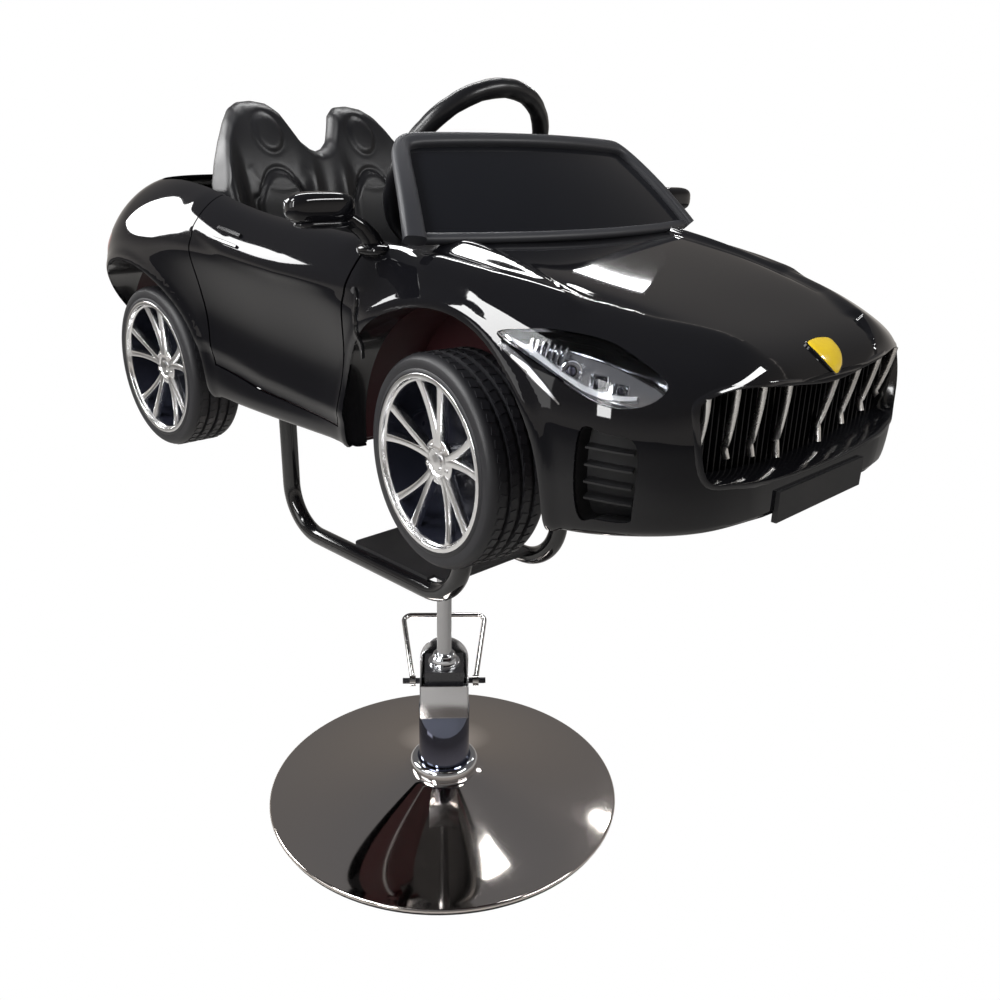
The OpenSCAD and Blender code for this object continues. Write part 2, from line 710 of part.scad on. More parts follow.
// Chassis
module slab(x, y0, y1, z0, z1) translate([-x, y0, z0]) cube([2 * x, y1 - y0, z1 - z0]);
module on_column() translate([wheel_side, wheel_back, wheel_z]) rotate([column_lean - 90, 0, 0]) children();
module chassis_tray() color([.25, .02, .03]) difference() {
  union() {
    slab(tub_half, -floor_front, floor_back, floor_z, floor_z + floor_t);
    slab(floor_half, -floor_wing_front, floor_wing_back, floor_z, floor_z + floor_t);
    slab(tub_half, -floor_front, -floor_front + floor_t, floor_z, front_deck_z + floor_t);
    slab(tub_half, -front_deck_end, -floor_front + floor_t, front_deck_z, front_deck_z + floor_t);
    slab(tub_half, floor_back - floor_t, floor_back, floor_z, rear_deck_z + floor_t);
    slab(tub_half, floor_back - floor_t, rear_deck_end, rear_deck_z, rear_deck_z + floor_t);
    both_sides() translate([tub_half - 2 * bearing_w, rear_axle_back - bearing_h / 2, axle_z - bearing_h / 2])
      cube([bearing_w, bearing_h, rear_deck_z - axle_z + bearing_h / 2]);
  }
  translate([0, rear_axle_back, axle_z]) along_x(axle_r, 2 * tub_half);
  on_column() translate([0, 0, -shaft_low]) cylinder(r = column_r + tie_pin_gap, h = shaft_low);
  for (p = bolt_places) translate([p[0], p[1], floor_z - over])
    cylinder(r = frame_bolt_r + bolt_clear, h = floor_t + 2 * over);
}
// A liner: a bent sheet over the wheel from its front end round to its back end, and a wall inside it
module arch_liner(y, r, deck, back_turn) both_sides() translate([tub_half, y, arch_z]) rotate([90, 0, 90]) {
  out = r + liner_gap + liner_t;
  far = 2 * out;
  linear_extrude(liner_out - tub_half) intersection() {
    difference() {
      circle(out);
      circle(r + liner_gap);
    }
    polygon([[0, 0], [-far, -far * tan(liner_turn)], [-far, far], [far, far], [far, far * tan(back_turn)]]);
  }
  linear_extrude(liner_t) intersection() {
    circle(out);
    translate([-far, deck + floor_t - arch_z]) square(2 * far);
  }
}
module arch_liners() color([.25, .02, .03]) {
  arch_liner(-front_arch_out, front_arch_r, front_deck_z, -liner_turn);
  arch_liner(rear_arch_back, rear_arch_r, rear_deck_z, liner_tail_turn);
}

// Outer shells
module shell_cuts() {
  let($grow = 0) {
    lamp_prism();
    intake_prism();
    tail_lamp_prism();
    grille_prism();
  }
  let($grow = door_gap) door_prism();
  arch_cut(-front_arch_out, front_arch_r);
  arch_cut(rear_arch_back, rear_arch_r);
  cockpit_cut();
}
module front_shell() color(black) difference() {
  body_wall(0, shell_wall);
  rear_region();
  shell_cuts();
}
module rear_shell() color(black) difference() {
  intersection() {
    body_wall(0, shell_wall);
    rear_region();
  }
  shell_cuts();
}
module grille_insert() color(black) sunken_pan(grille_depth) grille_prism();
module headlight_bowls() color(chrome) difference() {
  sunken_pan(lamp_depth) lamp_prism();
  let($grow = insert_lip + lens_gap) grille_prism();
}
module side_intakes() color(black) sunken_pan(intake_depth) intake_prism();
module headlight_lenses() color([.85, .88, .9, .5]) intersection() {
  body_wall(0, shell_wall);
  let($grow = -lens_gap) lamp_prism();
}
module tail_lamps() color([.5, .02, .02]) intersection() {
  body_wall(0, tail_lens_t);
  let($grow = -lens_gap) tail_lamp_prism();
}
bar_top_z = body_z + body_h * grille_shares[0][1];
bar_low_z = body_z + body_h * grille_shares[8][1];
module grille_bars() color(chrome) both_sides() intersection() {
  body_wall(over, grille_depth);
  let($grow = -lens_gap) grille_prism();
  for (k = [0:bar_pairs - 1]) hull() {
    for (z = [bar_top_z + bar_t, bar_low_z - bar_t]) translate([
        bar_pitch * k + bar_first * (k > 0 ? 2 : 1) + (z - bar_low_z) * bar_lean_share * k / bar_pairs, nose_y, z])
      rotate([-90, 0, 0]) cylinder(d = bar_t, h = grille_reach, $fn = hull_fn);
  }
}
module nose_badge() color([.95, .75, .05]) translate([0, -badge_out, badge_z]) rotate([badge_lean, 0, 0])
  cylinder(r = badge_r, h = badge_t);
module number_plate() color(black) translate([-number_w / 2, nose_y - number_t, number_z])
  cube([number_w, number_t, number_h]);

// Windscreen
function screen_line(edge, s) = [edge[0] * s, edge[1] + edge[2] * s * s, edge[3]];
module screen_sheet(r, from, to) for (i = [0:screen_steps - 1]) hull()
  for (s = [for (k = [i, i + 1]) -1 + 2 * k / screen_steps], e = [from, to])
    translate(screen_line(e, s)) sphere(r, $fn = screen_fn);
module screen_bar(edge, r) for (i = [0:screen_steps - 1]) hull()
  for (s = [for (k = [i, i + 1]) -1 + 2 * k / screen_steps]) translate(screen_line(edge, s))
    sphere(r, $fn = screen_fn);
head_line = [glass_head[0] + screen_bar_r, glass_head[1] + screen_bar_r, glass_head[2], glass_head[3] + head_rise];
module windscreen_frame() color(charcoal) difference() {
  union() {
    screen_bar(head_line, screen_bar_r);
    screen_bar(glass_base, screen_bar_r);
    both_sides() hull() {
      for (p = pillar_foot) translate([p[0], p[1], pillar_foot_z]) sphere(pillar_r, $fn = screen_fn);
      translate(screen_line(head_line, 1)) sphere(screen_bar_r, $fn = screen_fn);
    }
  }
  screen_sheet(glass_t / 2 + seat_gap, glass_base, glass_head);
}
module windscreen_glass() color([.1, .12, .13, .6]) screen_sheet(glass_t / 2, glass_base, glass_head);
module dashboard() color(black) difference() {
  rotate([90, 0, 90]) translate([0, 0, -dash_half]) linear_extrude(2 * dash_half) polygon(dash_profile);
  on_column() translate([0, 0, -shaft_low]) cylinder(r = column_tube_r, h = shaft_low);
}
module steering_tube() color(charcoal) on_column() difference() {
  translate([0, 0, -column_tube_far]) cylinder(r = column_tube_r, h = column_tube_far - column_tube_near);
  translate([0, 0, -shaft_low]) cylinder(r = column_r + column_tube_gap, h = shaft_low);
}

// Seat
function hump(s) = let(a = abs(s), n = len(hump_shares),
    i = max([for (k = [0:n - 2]) hump_shares[k][0] <= a ? k : 0]), p = hump_shares[i], q = hump_shares[i + 1])
  p[1] + (q[1] - p[1]) * (a - p[0]) / (q[0] - p[0]);
seat_back_h = seat_top - seat_back_low;
seat_columns = concat([for (i = [len(hump_shares) - 1:-1:1]) -hump_shares[i][0]], [for (p = hump_shares) p[0]]);
function seat_waist(z) = let(t = min(1, max(0, (z - seat_narrow_z) / (seat_back_h * seat_waist_share))))
  seat_w / 2 / seat_back_half + (1 - seat_w / 2 / seat_back_half) * t * t * (3 - 2 * t);
function seat_point(s, h, face) = let(z = seat_back_low + seat_back_h * hump(s) * h,
    edge = (1 - pow(abs(s), seat_edge_power)) * (1 - pow(h, seat_edge_power)), up = (z - seat_back_low) / seat_back_h)
  [s * seat_back_half * seat_waist(z), seat_back_y + seat_lean * up + seat_curl * pow(up, seat_curl_power)
    + face * seat_back_t / 2 * (1 - up * seat_thin_share) * (seat_edge_share + (1 - seat_edge_share) * edge), z];
module seat_back() {
  n = len(seat_columns);
  rows = [for (f = [-1, 1]) for (k = [0:seat_rows]) for (s = seat_columns) seat_point(s, k / seat_rows, f)];
  side = n * (seat_rows + 1);
  function at(f, k, i) = f * side + k * n + i;
  color(black) polyhedron(rows, concat(
    [for (k = [0:seat_rows - 1]) for (i = [0:n - 2]) each [
      [at(0, k, i), at(0, k + 1, i), at(0, k + 1, i + 1)], [at(0, k, i), at(0, k + 1, i + 1), at(0, k, i + 1)],
      [at(1, k, i), at(1, k + 1, i + 1), at(1, k + 1, i)], [at(1, k, i), at(1, k, i + 1), at(1, k + 1, i + 1)]]],
    [for (i = [0:n - 2]) each [
      [at(0, 0, i), at(0, 0, i + 1), at(1, 0, i + 1)], [at(0, 0, i), at(1, 0, i + 1), at(1, 0, i)],
      [at(0, seat_rows, i), at(1, seat_rows, i), at(1, seat_rows, i + 1)],
      [at(0, seat_rows, i), at(1, seat_rows, i + 1), at(0, seat_rows, i + 1)]]],
    [for (k = [0:seat_rows - 1]) each [
      [at(0, k, 0), at(1, k, 0), at(1, k + 1, 0)], [at(0, k, 0), at(1, k + 1, 0), at(0, k + 1, 0)],
      [at(0, k, n - 1), at(1, k + 1, n - 1), at(1, k, n - 1)],
      [at(0, k, n - 1), at(0, k + 1, n - 1), at(1, k + 1, n - 1)]]]));
}
module seat_pan() {
  n = seat_pan_steps;
  deep = seat_pan_back - seat_pan_front;
  low = floor_z + floor_t + seat_gap;
  function bulge(s) = 1 - pow(abs(2 * s - 1), seat_bulge_power);
  top = [for (j = [0:n]) for (i = [0:n]) let(s = i / n, t = j / n)
    [seat_w * (s - 1 / 2) * (1 - seat_taper_share * (1 - bulge(t))), seat_pan_front + deep * t,
      seat_pan_top - seat_edge * (1 - bulge(s) * bulge(t)) + seat_crown * sin(180 * s) * sin(180 * t)
        - seat_crown * (t - 1 / 2)]];
  mid = seat_pan_front + deep / 2;
  base = [for (p = top) [p[0] * seat_foot_share, mid + (p[1] - mid) * seat_foot_share, low]];
  count = (n + 1) * (n + 1);
  function id(i, j) = j * (n + 1) + i;
  color(black) polyhedron(concat(top, base), concat(
    [for (j = [0:n - 1]) for (i = [0:n - 1]) each [
      [id(i, j), id(i, j + 1), id(i + 1, j + 1)], [id(i, j), id(i + 1, j + 1), id(i + 1, j)],
      [count + id(i, j), count + id(i + 1, j + 1), count + id(i, j + 1)],
      [count + id(i, j), count + id(i + 1, j), count + id(i + 1, j + 1)]]],
    [for (i = [0:n - 1]) each [
      [id(i, 0), id(i + 1, 0), count + id(i + 1, 0)], [id(i, 0), count + id(i + 1, 0), count + id(i, 0)],
      [id(i, n), count + id(i + 1, n), id(i + 1, n)], [id(i, n), count + id(i, n), count + id(i + 1, n)],
      [id(0, i), count + id(0, i + 1), id(0, i + 1)], [id(0, i), count + id(0, i), count + id(0, i + 1)],
      [id(n, i), id(n, i + 1), count + id(n, i + 1)], [id(n, i), count + id(n, i + 1), count + id(n, i)]]]));
}

// Front axle, steering and wheels
module front_axle_beam() color(charcoal) translate([0, -king_out, 0]) difference() {
  union() {
    translate([-beam_reach, -beam_w / 2, axle_z - beam_drop]) cube([2 * beam_reach, beam_w, beam_h]);
    both_sides() {
      for (z = [axle_z - knuckle_h / 2 - king_gap - ear_t, axle_z + knuckle_h / 2 + king_gap]) {
        translate([beam_reach - web_t, -ear_r, z]) cube([king_side - beam_reach + web_t, 2 * ear_r, ear_t]);
        translate([king_side, 0, z]) cylinder(r = ear_r, h = ear_t);
      }
      translate([beam_reach - web_t, -ear_r, axle_z - knuckle_h / 2 - king_gap - ear_t])
        cube([web_t, 2 * ear_r, knuckle_h + 2 * king_gap + 2 * ear_t]);
      translate([spacer_side, -beam_w / 2, axle_z - beam_drop])
        cube([spacer_w, beam_w, front_deck_z - axle_z + beam_drop]);
    }
  }
  both_sides() translate([king_side, 0, axle_z - knuckle_h]) cylinder(r = king_pin_r + run_gap, h = 2 * knuckle_h);
}
arm_z = axle_z + knuckle_h / 2 - arm_t;
module knuckle() {
  translate([0, 0, axle_z - knuckle_h / 2]) cylinder(r = knuckle_r, h = knuckle_h);
  translate([0, 0, axle_z - knuckle_h / 2 - king_gap - ear_t])
    cylinder(r = king_pin_r, h = knuckle_h + 2 * king_gap + 2 * ear_t);
  translate([0, 0, axle_z]) rotate([0, 90, 0]) cylinder(r = axle_r, h = track / 2 - king_side - (tyre_w - hub_bore_l) - over);
  translate([-arm_w / 2, 0, arm_z]) cube([arm_w, arm_l, arm_t]);
  translate([0, arm_l, arm_z]) cylinder(r = arm_w / 2, h = arm_t);
  translate([0, arm_l, arm_z - tie_gap - tie_t]) cylinder(r = tie_pin_r, h = tie_gap + tie_t + over);
}
module knuckle_right() color(steel) translate([-king_side, -king_out, 0]) rotate([0, 0, steer_rest])
  mirror([1, 0, 0]) knuckle();
module knuckle_left() color(steel) translate([king_side, -king_out, 0]) rotate([0, 0, steer_rest]) knuckle();
tie_shift = -arm_l * sin(steer_rest);
tie_back = -king_out + arm_l * cos(steer_rest);
tie_z = arm_z - tie_gap - tie_t;
slot_side = wheel_side - crank_r * sin(crank_rest) - tie_shift;
module tie_rod() color(steel) translate([tie_shift, 0, tie_z]) difference() {
  union() {
    translate([-king_side, tie_back - tie_w / 2, 0]) cube([2 * king_side, tie_w, tie_t]);
    both_sides() translate([king_side, tie_back, 0]) cylinder(r = tie_eye_r, h = tie_t);
    translate([slot_side - tongue_w / 2, -tongue_end, 0]) cube([tongue_w, tongue_end + tie_back, tie_t]);
  }
  both_sides() translate([king_side, tie_back, -over]) cylinder(r = tie_pin_r + tie_pin_gap, h = tie_t + 2 * over);
  translate([slot_side - peg_r - peg_gap, slot_front - tongue_end, -over])
    cube([2 * (peg_r + peg_gap), slot_l, tie_t + 2 * over]);
}
module steering_shaft() color(steel) on_column() {
  translate([0, 0, -shaft_low]) cylinder(r = column_r, h = shaft_low - wheel_hub_h / 2);
  rotate([0, 0, crank_rest]) {
    translate([-crank_round, 0, -shaft_low]) cube([2 * crank_round, crank_r, crank_t]);
    translate([0, crank_r, -shaft_low]) cylinder(r = crank_round, h = crank_t);
    translate([0, crank_r, -shaft_low - peg_l]) cylinder(r = peg_r, h = peg_l + over);
  }
}
module steering_wheel() color(black) on_column() difference() {
  union() {
    rotate_extrude() translate([wheel_r - grip_r, 0]) circle(grip_r);
    translate([0, 0, -wheel_hub_h / 2]) cylinder(r = wheel_hub_r, h = wheel_hub_h);
    for (a = [0, 180, 90]) rotate([0, 0, a]) translate([0, -wheel_spoke_w / 2, -wheel_spoke_t / 2])
      cube([wheel_r - grip_r, wheel_spoke_w, wheel_spoke_t]);
  }
  translate([0, 0, -shaft_low]) cylinder(r = column_r, h = shaft_low - wheel_hub_h / 2);
}
tyre_profile = let(r = tyre_round, out = tyre_r - r) concat(
  [[rim_seat_r, -tyre_w + rim_lip_w], [rim_r + seat_gap, -tyre_w + rim_lip_w], [rim_r + seat_gap, -tyre_w]],
  [for (a = [-90:22.5:0]) [out + r * cos(a), -tyre_w + r + r * sin(a)]],
  [for (a = [0:22.5:90]) [out + r * cos(a), -r + r * sin(a)]],
  [[rim_r + seat_gap, 0], [rim_r + seat_gap, -rim_lip_w], [rim_seat_r, -rim_lip_w]]);
module tyre() color([.03, .03, .03]) rotate_extrude($fn = 2 * $fn) polygon(tyre_profile);
rim_profile = [[rim_seat_r - rim_barrel_t, -tyre_w], [rim_r, -tyre_w], [rim_r, -tyre_w + rim_lip_w],
  [rim_seat_r, -tyre_w + rim_lip_w], [rim_seat_r, -rim_lip_w], [rim_r, -rim_lip_w], [rim_r, 0],
  [rim_seat_r - rim_barrel_t, 0]];
module rim() color(chrome) difference() {
  union() {
    rotate_extrude($fn = 2 * $fn) polygon(rim_profile);
    translate([0, 0, -tyre_w]) cylinder(r = hub_boss_r, h = tyre_w - hub_cap_sink);
    translate([0, 0, -hub_cap_sink]) cylinder(r = hub_cap_r, h = hub_cap_t);
    for (i = [0:spoke_count - 1], side = [-1, 1])
      rotate([0, 0, 360 * i / spoke_count + side * spoke_splay])
        translate([hub_boss_r, -spoke_w / 2, -spoke_dish])
          cube([rim_seat_r - rim_barrel_t / 2 - hub_boss_r, spoke_w, spoke_t]);
  }
  translate([0, 0, -tyre_w - over]) cylinder(r = axle_r + run_gap, h = hub_bore_l + over);
}
module front_wheel(side) translate([side * king_side, -king_out, axle_z]) rotate([0, 0, steer_rest])
  translate([side * (track / 2 - king_side), 0, 0]) rotate([0, side * 90, 0]) children();
module rear_wheel(side) translate([side * track / 2, rear_axle_back, axle_z]) rotate([0, side * 90, 0]) children();
module rear_axle() color(steel) translate([0, rear_axle_back, axle_z]) along_x(axle_r,
  track - 2 * (tyre_w - hub_bore_l) - 2 * over);

// Doors
module door(side) color(black) difference() {
  intersection() {
    body_wall(0, door_depth);
    let($grow = 0) door_prism();
    translate([side > 0 ? 0 : -side_reach, nose_y, body_z]) cube([side_reach, car_l, 2 * body_h]);
  }
  intersection() {
    body_solid(shell_wall);
    let($grow = 0) side_prism(drawn_in(door_points, door_rim), 0, side_reach);
  }
  scale([side, 1, 1]) translate([cockpit_half - over, hinge_y - hinge_notch * 2, hinge_z - hinge_notch_rise])
    cube([hinge_skin_side - cockpit_half + over, hinge_notch * 3, hinge_h + 2 * hinge_notch_rise]);
}
module hinge_leaf(side) color(steel) scale([side, 1, 1]) translate([hinge_side, hinge_y, hinge_z]) difference() {
  union() {
    cylinder(r = hinge_barrel_r, h = hinge_h);
    translate([hinge_leaf_out - hinge_leaf_t, 0, 0]) cube([hinge_leaf_t, hinge_leaf_l, hinge_h]);
  }
  translate([0, 0, -over]) cylinder(r = hinge_pin_r + run_gap, h = hinge_h + 2 * over);
}
module hinge_pins() color(steel) both_sides() {
  translate([hinge_side, hinge_y, hinge_z - hinge_arm_t - king_gap])
    cylinder(r = hinge_pin_r, h = hinge_h + 2 * hinge_arm_t + 2 * king_gap);
  for (z = [hinge_z - hinge_arm_t - king_gap, hinge_z + hinge_h + king_gap]) translate([0, 0, z]) {
    linear_extrude(hinge_arm_t) union() {
      translate([hinge_side, hinge_y]) circle(hinge_barrel_r);
      translate([hinge_arm_side - hinge_arm_w / 2, hinge_y - hinge_barrel_r])
        square([hinge_side - hinge_arm_side + hinge_arm_w / 2, 2 * hinge_barrel_r]);
      translate([hinge_arm_side - hinge_arm_w / 2, -hinge_arm_front])
        square([hinge_arm_w, hinge_arm_front + hinge_y]);
      translate([hinge_arm_side - hinge_arm_w / 2, -hinge_arm_front - hinge_arm_w])
        square([hinge_arm_out - hinge_arm_side + hinge_arm_w / 2, hinge_arm_w]);
    }
  }
  translate([hinge_arm_side - hinge_arm_w / 2, -hinge_arm_front - hinge_arm_w, hinge_z - hinge_arm_t - king_gap])
    cube([hinge_arm_w, hinge_arm_w, hinge_h + 2 * hinge_arm_t + 2 * king_gap]);
}
module mirrors() color(black) both_sides() {
  hull() {
    translate([mirror_side, mirror_y, mirror_z]) scale(mirror_size) sphere(1, $fn = hull_fn);
  }
  hull() {
    translate(mirror_foot) sphere(mirror_stalk_r, $fn = hull_fn);
    translate([mirror_side - mirror_size[0] / 2, mirror_y, mirror_z - mirror_size[2] / 3])
      sphere(mirror_stalk_r, $fn = hull_fn);
  }
}

floor_pad();
ballast_plate();
base_cover();
pump_tube();
pump_bolts();
base_collar();
pump_barrel();
rod_gland();
pump_head();
pump_bracket();
pedal_bail();
cross_shaft();
pump_plunger();
piston();
piston_seal();
piston_rod();
mounting_plate_placed();  // mounting_plate
frame_tube(-1);  // frame_tube_right
frame_tube(1);  // frame_tube_left
frame_straps();
frame_bolts();
chassis_tray();
arch_liners();
front_shell();
rear_shell();
grille_insert();
grille_bars();
nose_badge();
number_plate();
headlight_bowls();
headlight_lenses();
side_intakes();
tail_lamps();
windscreen_frame();
windscreen_glass();
dashboard();
steering_tube();
seat_back();
seat_pan();
front_axle_beam();
rear_axle();
hinge_pins();
mirrors();
steering_wheel();
steering_shaft();
knuckle_right();
knuckle_left();
tie_rod();
front_wheel(-1) tyre();  // tyre_front_right
front_wheel(1) tyre();  // tyre_front_left
rear_wheel(-1) tyre();  // tyre_rear_right
rear_wheel(1) tyre();  // tyre_rear_left
front_wheel(-1) rim();  // rim_front_right
front_wheel(1) rim();  // rim_front_left
rear_wheel(-1) rim();  // rim_rear_right
rear_wheel(1) rim();  // rim_rear_left
door(-1);  // door_right
door(1);  // door_left
hinge_leaf(-1);  // hinge_leaf_right
hinge_leaf(1);  // hinge_leaf_left
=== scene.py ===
from math import cos, exp, pi, radians, sin

import bmesh
import bpy
import numpy as np
from mathutils import Matrix, Vector


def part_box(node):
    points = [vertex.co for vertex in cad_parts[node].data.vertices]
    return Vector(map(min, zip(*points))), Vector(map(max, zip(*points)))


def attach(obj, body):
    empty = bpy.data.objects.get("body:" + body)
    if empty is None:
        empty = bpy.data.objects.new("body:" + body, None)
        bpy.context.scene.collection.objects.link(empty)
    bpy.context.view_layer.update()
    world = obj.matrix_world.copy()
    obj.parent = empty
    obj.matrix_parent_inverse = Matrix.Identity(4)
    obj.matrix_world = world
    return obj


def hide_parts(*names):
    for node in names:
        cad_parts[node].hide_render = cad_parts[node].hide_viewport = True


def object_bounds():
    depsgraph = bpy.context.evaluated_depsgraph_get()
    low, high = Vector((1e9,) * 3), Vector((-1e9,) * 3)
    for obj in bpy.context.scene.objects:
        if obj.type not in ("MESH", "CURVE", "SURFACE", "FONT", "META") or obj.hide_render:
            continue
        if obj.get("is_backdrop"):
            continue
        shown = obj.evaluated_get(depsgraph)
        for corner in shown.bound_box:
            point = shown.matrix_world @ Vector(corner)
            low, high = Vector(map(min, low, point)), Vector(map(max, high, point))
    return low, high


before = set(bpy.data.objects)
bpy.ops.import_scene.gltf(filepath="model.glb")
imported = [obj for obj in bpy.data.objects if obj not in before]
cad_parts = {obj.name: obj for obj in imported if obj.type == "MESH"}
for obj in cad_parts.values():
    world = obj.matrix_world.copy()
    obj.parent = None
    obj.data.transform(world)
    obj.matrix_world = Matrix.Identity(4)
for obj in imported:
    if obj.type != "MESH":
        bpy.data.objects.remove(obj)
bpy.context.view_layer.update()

# Studio
# A camera at the photograph's place and a pale floor in a pale room. A broad key hangs over the chair,
# strips run along the gloss paint, and three windows show in it as highlights.
eye = Vector((-0.9105, -1.0225, 1.0457))
azimuth, elevation, roll = radians(-45.35), radians(22.07), radians(1.43)
focal_px, centre_y_px, image_px = 938.0, 532.9, 1000.0
sensor = 36.0
back = Vector((sin(azimuth) * cos(elevation), -cos(azimuth) * cos(elevation), sin(elevation)))
level = Vector((cos(azimuth), sin(azimuth), 0))
upright = back.cross(level)
right = cos(roll) * level + sin(roll) * upright
up = -sin(roll) * level + cos(roll) * upright
camera = bpy.data.objects.new("camera", bpy.data.cameras.new("camera"))
bpy.context.scene.collection.objects.link(camera)
camera.matrix_world = Matrix((
    (right.x, up.x, back.x, eye.x), (right.y, up.y, back.y, eye.y),
    (right.z, up.z, back.z, eye.z), (0, 0, 0, 1)))
camera.data.sensor_width = sensor
camera.data.lens = focal_px / image_px * sensor
camera.data.shift_y = (centre_y_px - image_px / 2) / image_px
bpy.context.scene.camera = camera
bpy.context.scene.view_settings.view_transform = "Standard"


def area_light(name, place, target, size, power, tint=(1, 1, 1)):
    """A soft rectangular lamp at a place, facing a target."""
    data = bpy.data.lights.new(name, "AREA")
    data.shape = "RECTANGLE"
    data.size, data.size_y = size
    data.energy = power
    data.color = tint
    lamp = bpy.data.objects.new(name, data)
    lamp.location = place
    lamp.rotation_euler = (Vector(target) - Vector(place)).to_track_quat("-Z", "Y").to_euler()
    bpy.context.scene.collection.objects.link(lamp)


area_light("key_overhead", (-1.6, 0.6, 2.6), (0, 0, 0.8), (0.9, 0.9), 54)
area_light("strip_left", (-2.6, -0.7, 1.9), (0, 0, 0.9), (0.35, 1.5), 36)
area_light("strip_right", (1.1, -2.2, 2.2), (0, -0.3, 0.9), (1.6, 0.3), 34)
area_light("strip_back", (0.8, 1.2, 2.7), (0, 0, 0.9), (1.6, 0.25), 24)
area_light("window_left", (-2.9, 0.9, 1.6), (0, 0, 0.85), (1.5, 1.1), 9)
area_light("window_back", (-0.95, 2.3, 1.95), (-0.29, 0.1, 0.93), (0.9, 1.0), 36)
area_light("window_right", (2.0, 1.03, 1.88), (0, -0.35, 0.93), (0.34, 0.07), 2.2)

def set_inputs(node, values):
    """Gives a node's named inputs their values."""
    for name, value in values.items():
        node.inputs[name].default_value = value


white = (1, 1, 1, 1)
room_foot, room_bend, room_top = (0.48, 0.45, 0.42, 1), (0.17, 0.158, 0.148, 1), (0.13, 0.13, 0.135, 1)
bend_at, top_at = 0.22, 0.75
room = bpy.data.worlds.new("studio")
bpy.context.scene.world = room
room.use_nodes = True
tree = room.node_tree
where = tree.nodes.new("ShaderNodeTexCoord")
height = tree.nodes.new("ShaderNodeSeparateXYZ")
ramp = tree.nodes.new("ShaderNodeValToRGB")
shades = ramp.color_ramp.elements
shades[0].color = room_foot
shades[1].position = top_at
shades[1].color = room_top
shades.new(bend_at).color = room_bend
seen = tree.nodes.new("ShaderNodeLightPath")
pick = tree.nodes.new("ShaderNodeMix")
pick.data_type = "RGBA"
set_inputs(pick, {"B": white})
tree.links.new(where.outputs["Generated"], height.inputs[0])
tree.links.new(height.outputs["Z"], ramp.inputs["Fac"])
tree.links.new(seen.outputs["Is Camera Ray"], pick.inputs["Factor"])
tree.links.new(ramp.outputs["Color"], pick.inputs["A"])
tree.links.new(pick.outputs["Result"], tree.nodes["Background"].inputs["Color"])

floor_half = 6.0
floor_mesh = bpy.data.meshes.new("studio_floor")
bm = bmesh.new()
bmesh.ops.create_grid(bm, x_segments=1, y_segments=1, size=floor_half)
bm.to_mesh(floor_mesh)
bm.free()
floor = bpy.data.objects.new("studio_floor", floor_mesh)
bpy.context.scene.collection.objects.link(floor)
floor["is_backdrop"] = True
floor_paint = bpy.data.materials.new("floor_paint")
floor_paint.use_nodes = True
tree = floor_paint.node_tree
paint = tree.nodes["Principled BSDF"]
set_inputs(paint, {"Base Color": (0.40, 0.39, 0.375, 1), "Roughness": 0.9, "Specular IOR Level": 0.0})
glow = tree.nodes.new("ShaderNodeEmission")
set_inputs(glow, {"Color": white})
seen = tree.nodes.new("ShaderNodeLightPath")
blend = tree.nodes.new("ShaderNodeMixShader")
tree.links.new(seen.outputs["Is Camera Ray"], blend.inputs["Fac"])
tree.links.new(paint.outputs["BSDF"], blend.inputs[1])
tree.links.new(glow.outputs["Emission"], blend.inputs[2])
tree.links.new(blend.outputs["Shader"], tree.nodes["Material Output"].inputs["Surface"])
floor_mesh.materials.append(floor_paint)

# Base dish
# The heavy foot of the chair: a spun steel dish, chromed and polished, with a rolled edge. It drops over a
# painted ballast plate, which stands on a rubber pad.


def variation_group():
    """Slow colour and roughness drift with a fine grain, read from the piece's own place."""
    group = bpy.data.node_groups.new("surface_variation", "ShaderNodeTree")
    for name, kind, default in (
            ("Light", "NodeSocketColor", (0.8, 0.8, 0.8, 1)), ("Dark", "NodeSocketColor", (0.7, 0.7, 0.7, 1)),
            ("Patch Scale", "NodeSocketFloat", 8.0), ("Grain Scale", "NodeSocketFloat", 600.0),
            ("Smooth", "NodeSocketFloat", 0.1), ("Rough", "NodeSocketFloat", 0.2)):
        socket = group.interface.new_socket(name, in_out="INPUT", socket_type=kind)
        socket.default_value = default
    for name, kind in (("Colour", "NodeSocketColor"), ("Roughness", "NodeSocketFloat"),
                       ("Grain", "NodeSocketFloat")):
        group.interface.new_socket(name, in_out="OUTPUT", socket_type=kind)
    nodes, links = group.nodes, group.links
    inside, outside = nodes.new("NodeGroupInput"), nodes.new("NodeGroupOutput")
    place = nodes.new("ShaderNodeTexCoord")
    patches = nodes.new("ShaderNodeTexNoise")
    patches.inputs["Detail"].default_value = 3.0
    grain = nodes.new("ShaderNodeTexNoise")
    grain.inputs["Detail"].default_value = 2.0
    for tex, scale in ((patches, "Patch Scale"), (grain, "Grain Scale")):
        links.new(place.outputs["Object"], tex.inputs["Vector"])
        links.new(inside.outputs[scale], tex.inputs["Scale"])
    colour = nodes.new("ShaderNodeMix")
    colour.data_type = "RGBA"
    links.new(patches.outputs["Fac"], colour.inputs["Factor"])
    links.new(inside.outputs["Light"], colour.inputs["A"])
    links.new(inside.outputs["Dark"], colour.inputs["B"])
    rough = nodes.new("ShaderNodeMapRange")
    rough.inputs["From Min"].default_value = 0.3
    rough.inputs["From Max"].default_value = 0.7
    links.new(patches.outputs["Fac"], rough.inputs["Value"])
    links.new(inside.outputs["Smooth"], rough.inputs["To Min"])
    links.new(inside.outputs["Rough"], rough.inputs["To Max"])
    links.new(colour.outputs["Result"], outside.inputs["Colour"])
    links.new(rough.outputs["Result"], outside.inputs["Roughness"])
    links.new(grain.outputs["Fac"], outside.inputs["Grain"])
    return group


surface_variation = variation_group()


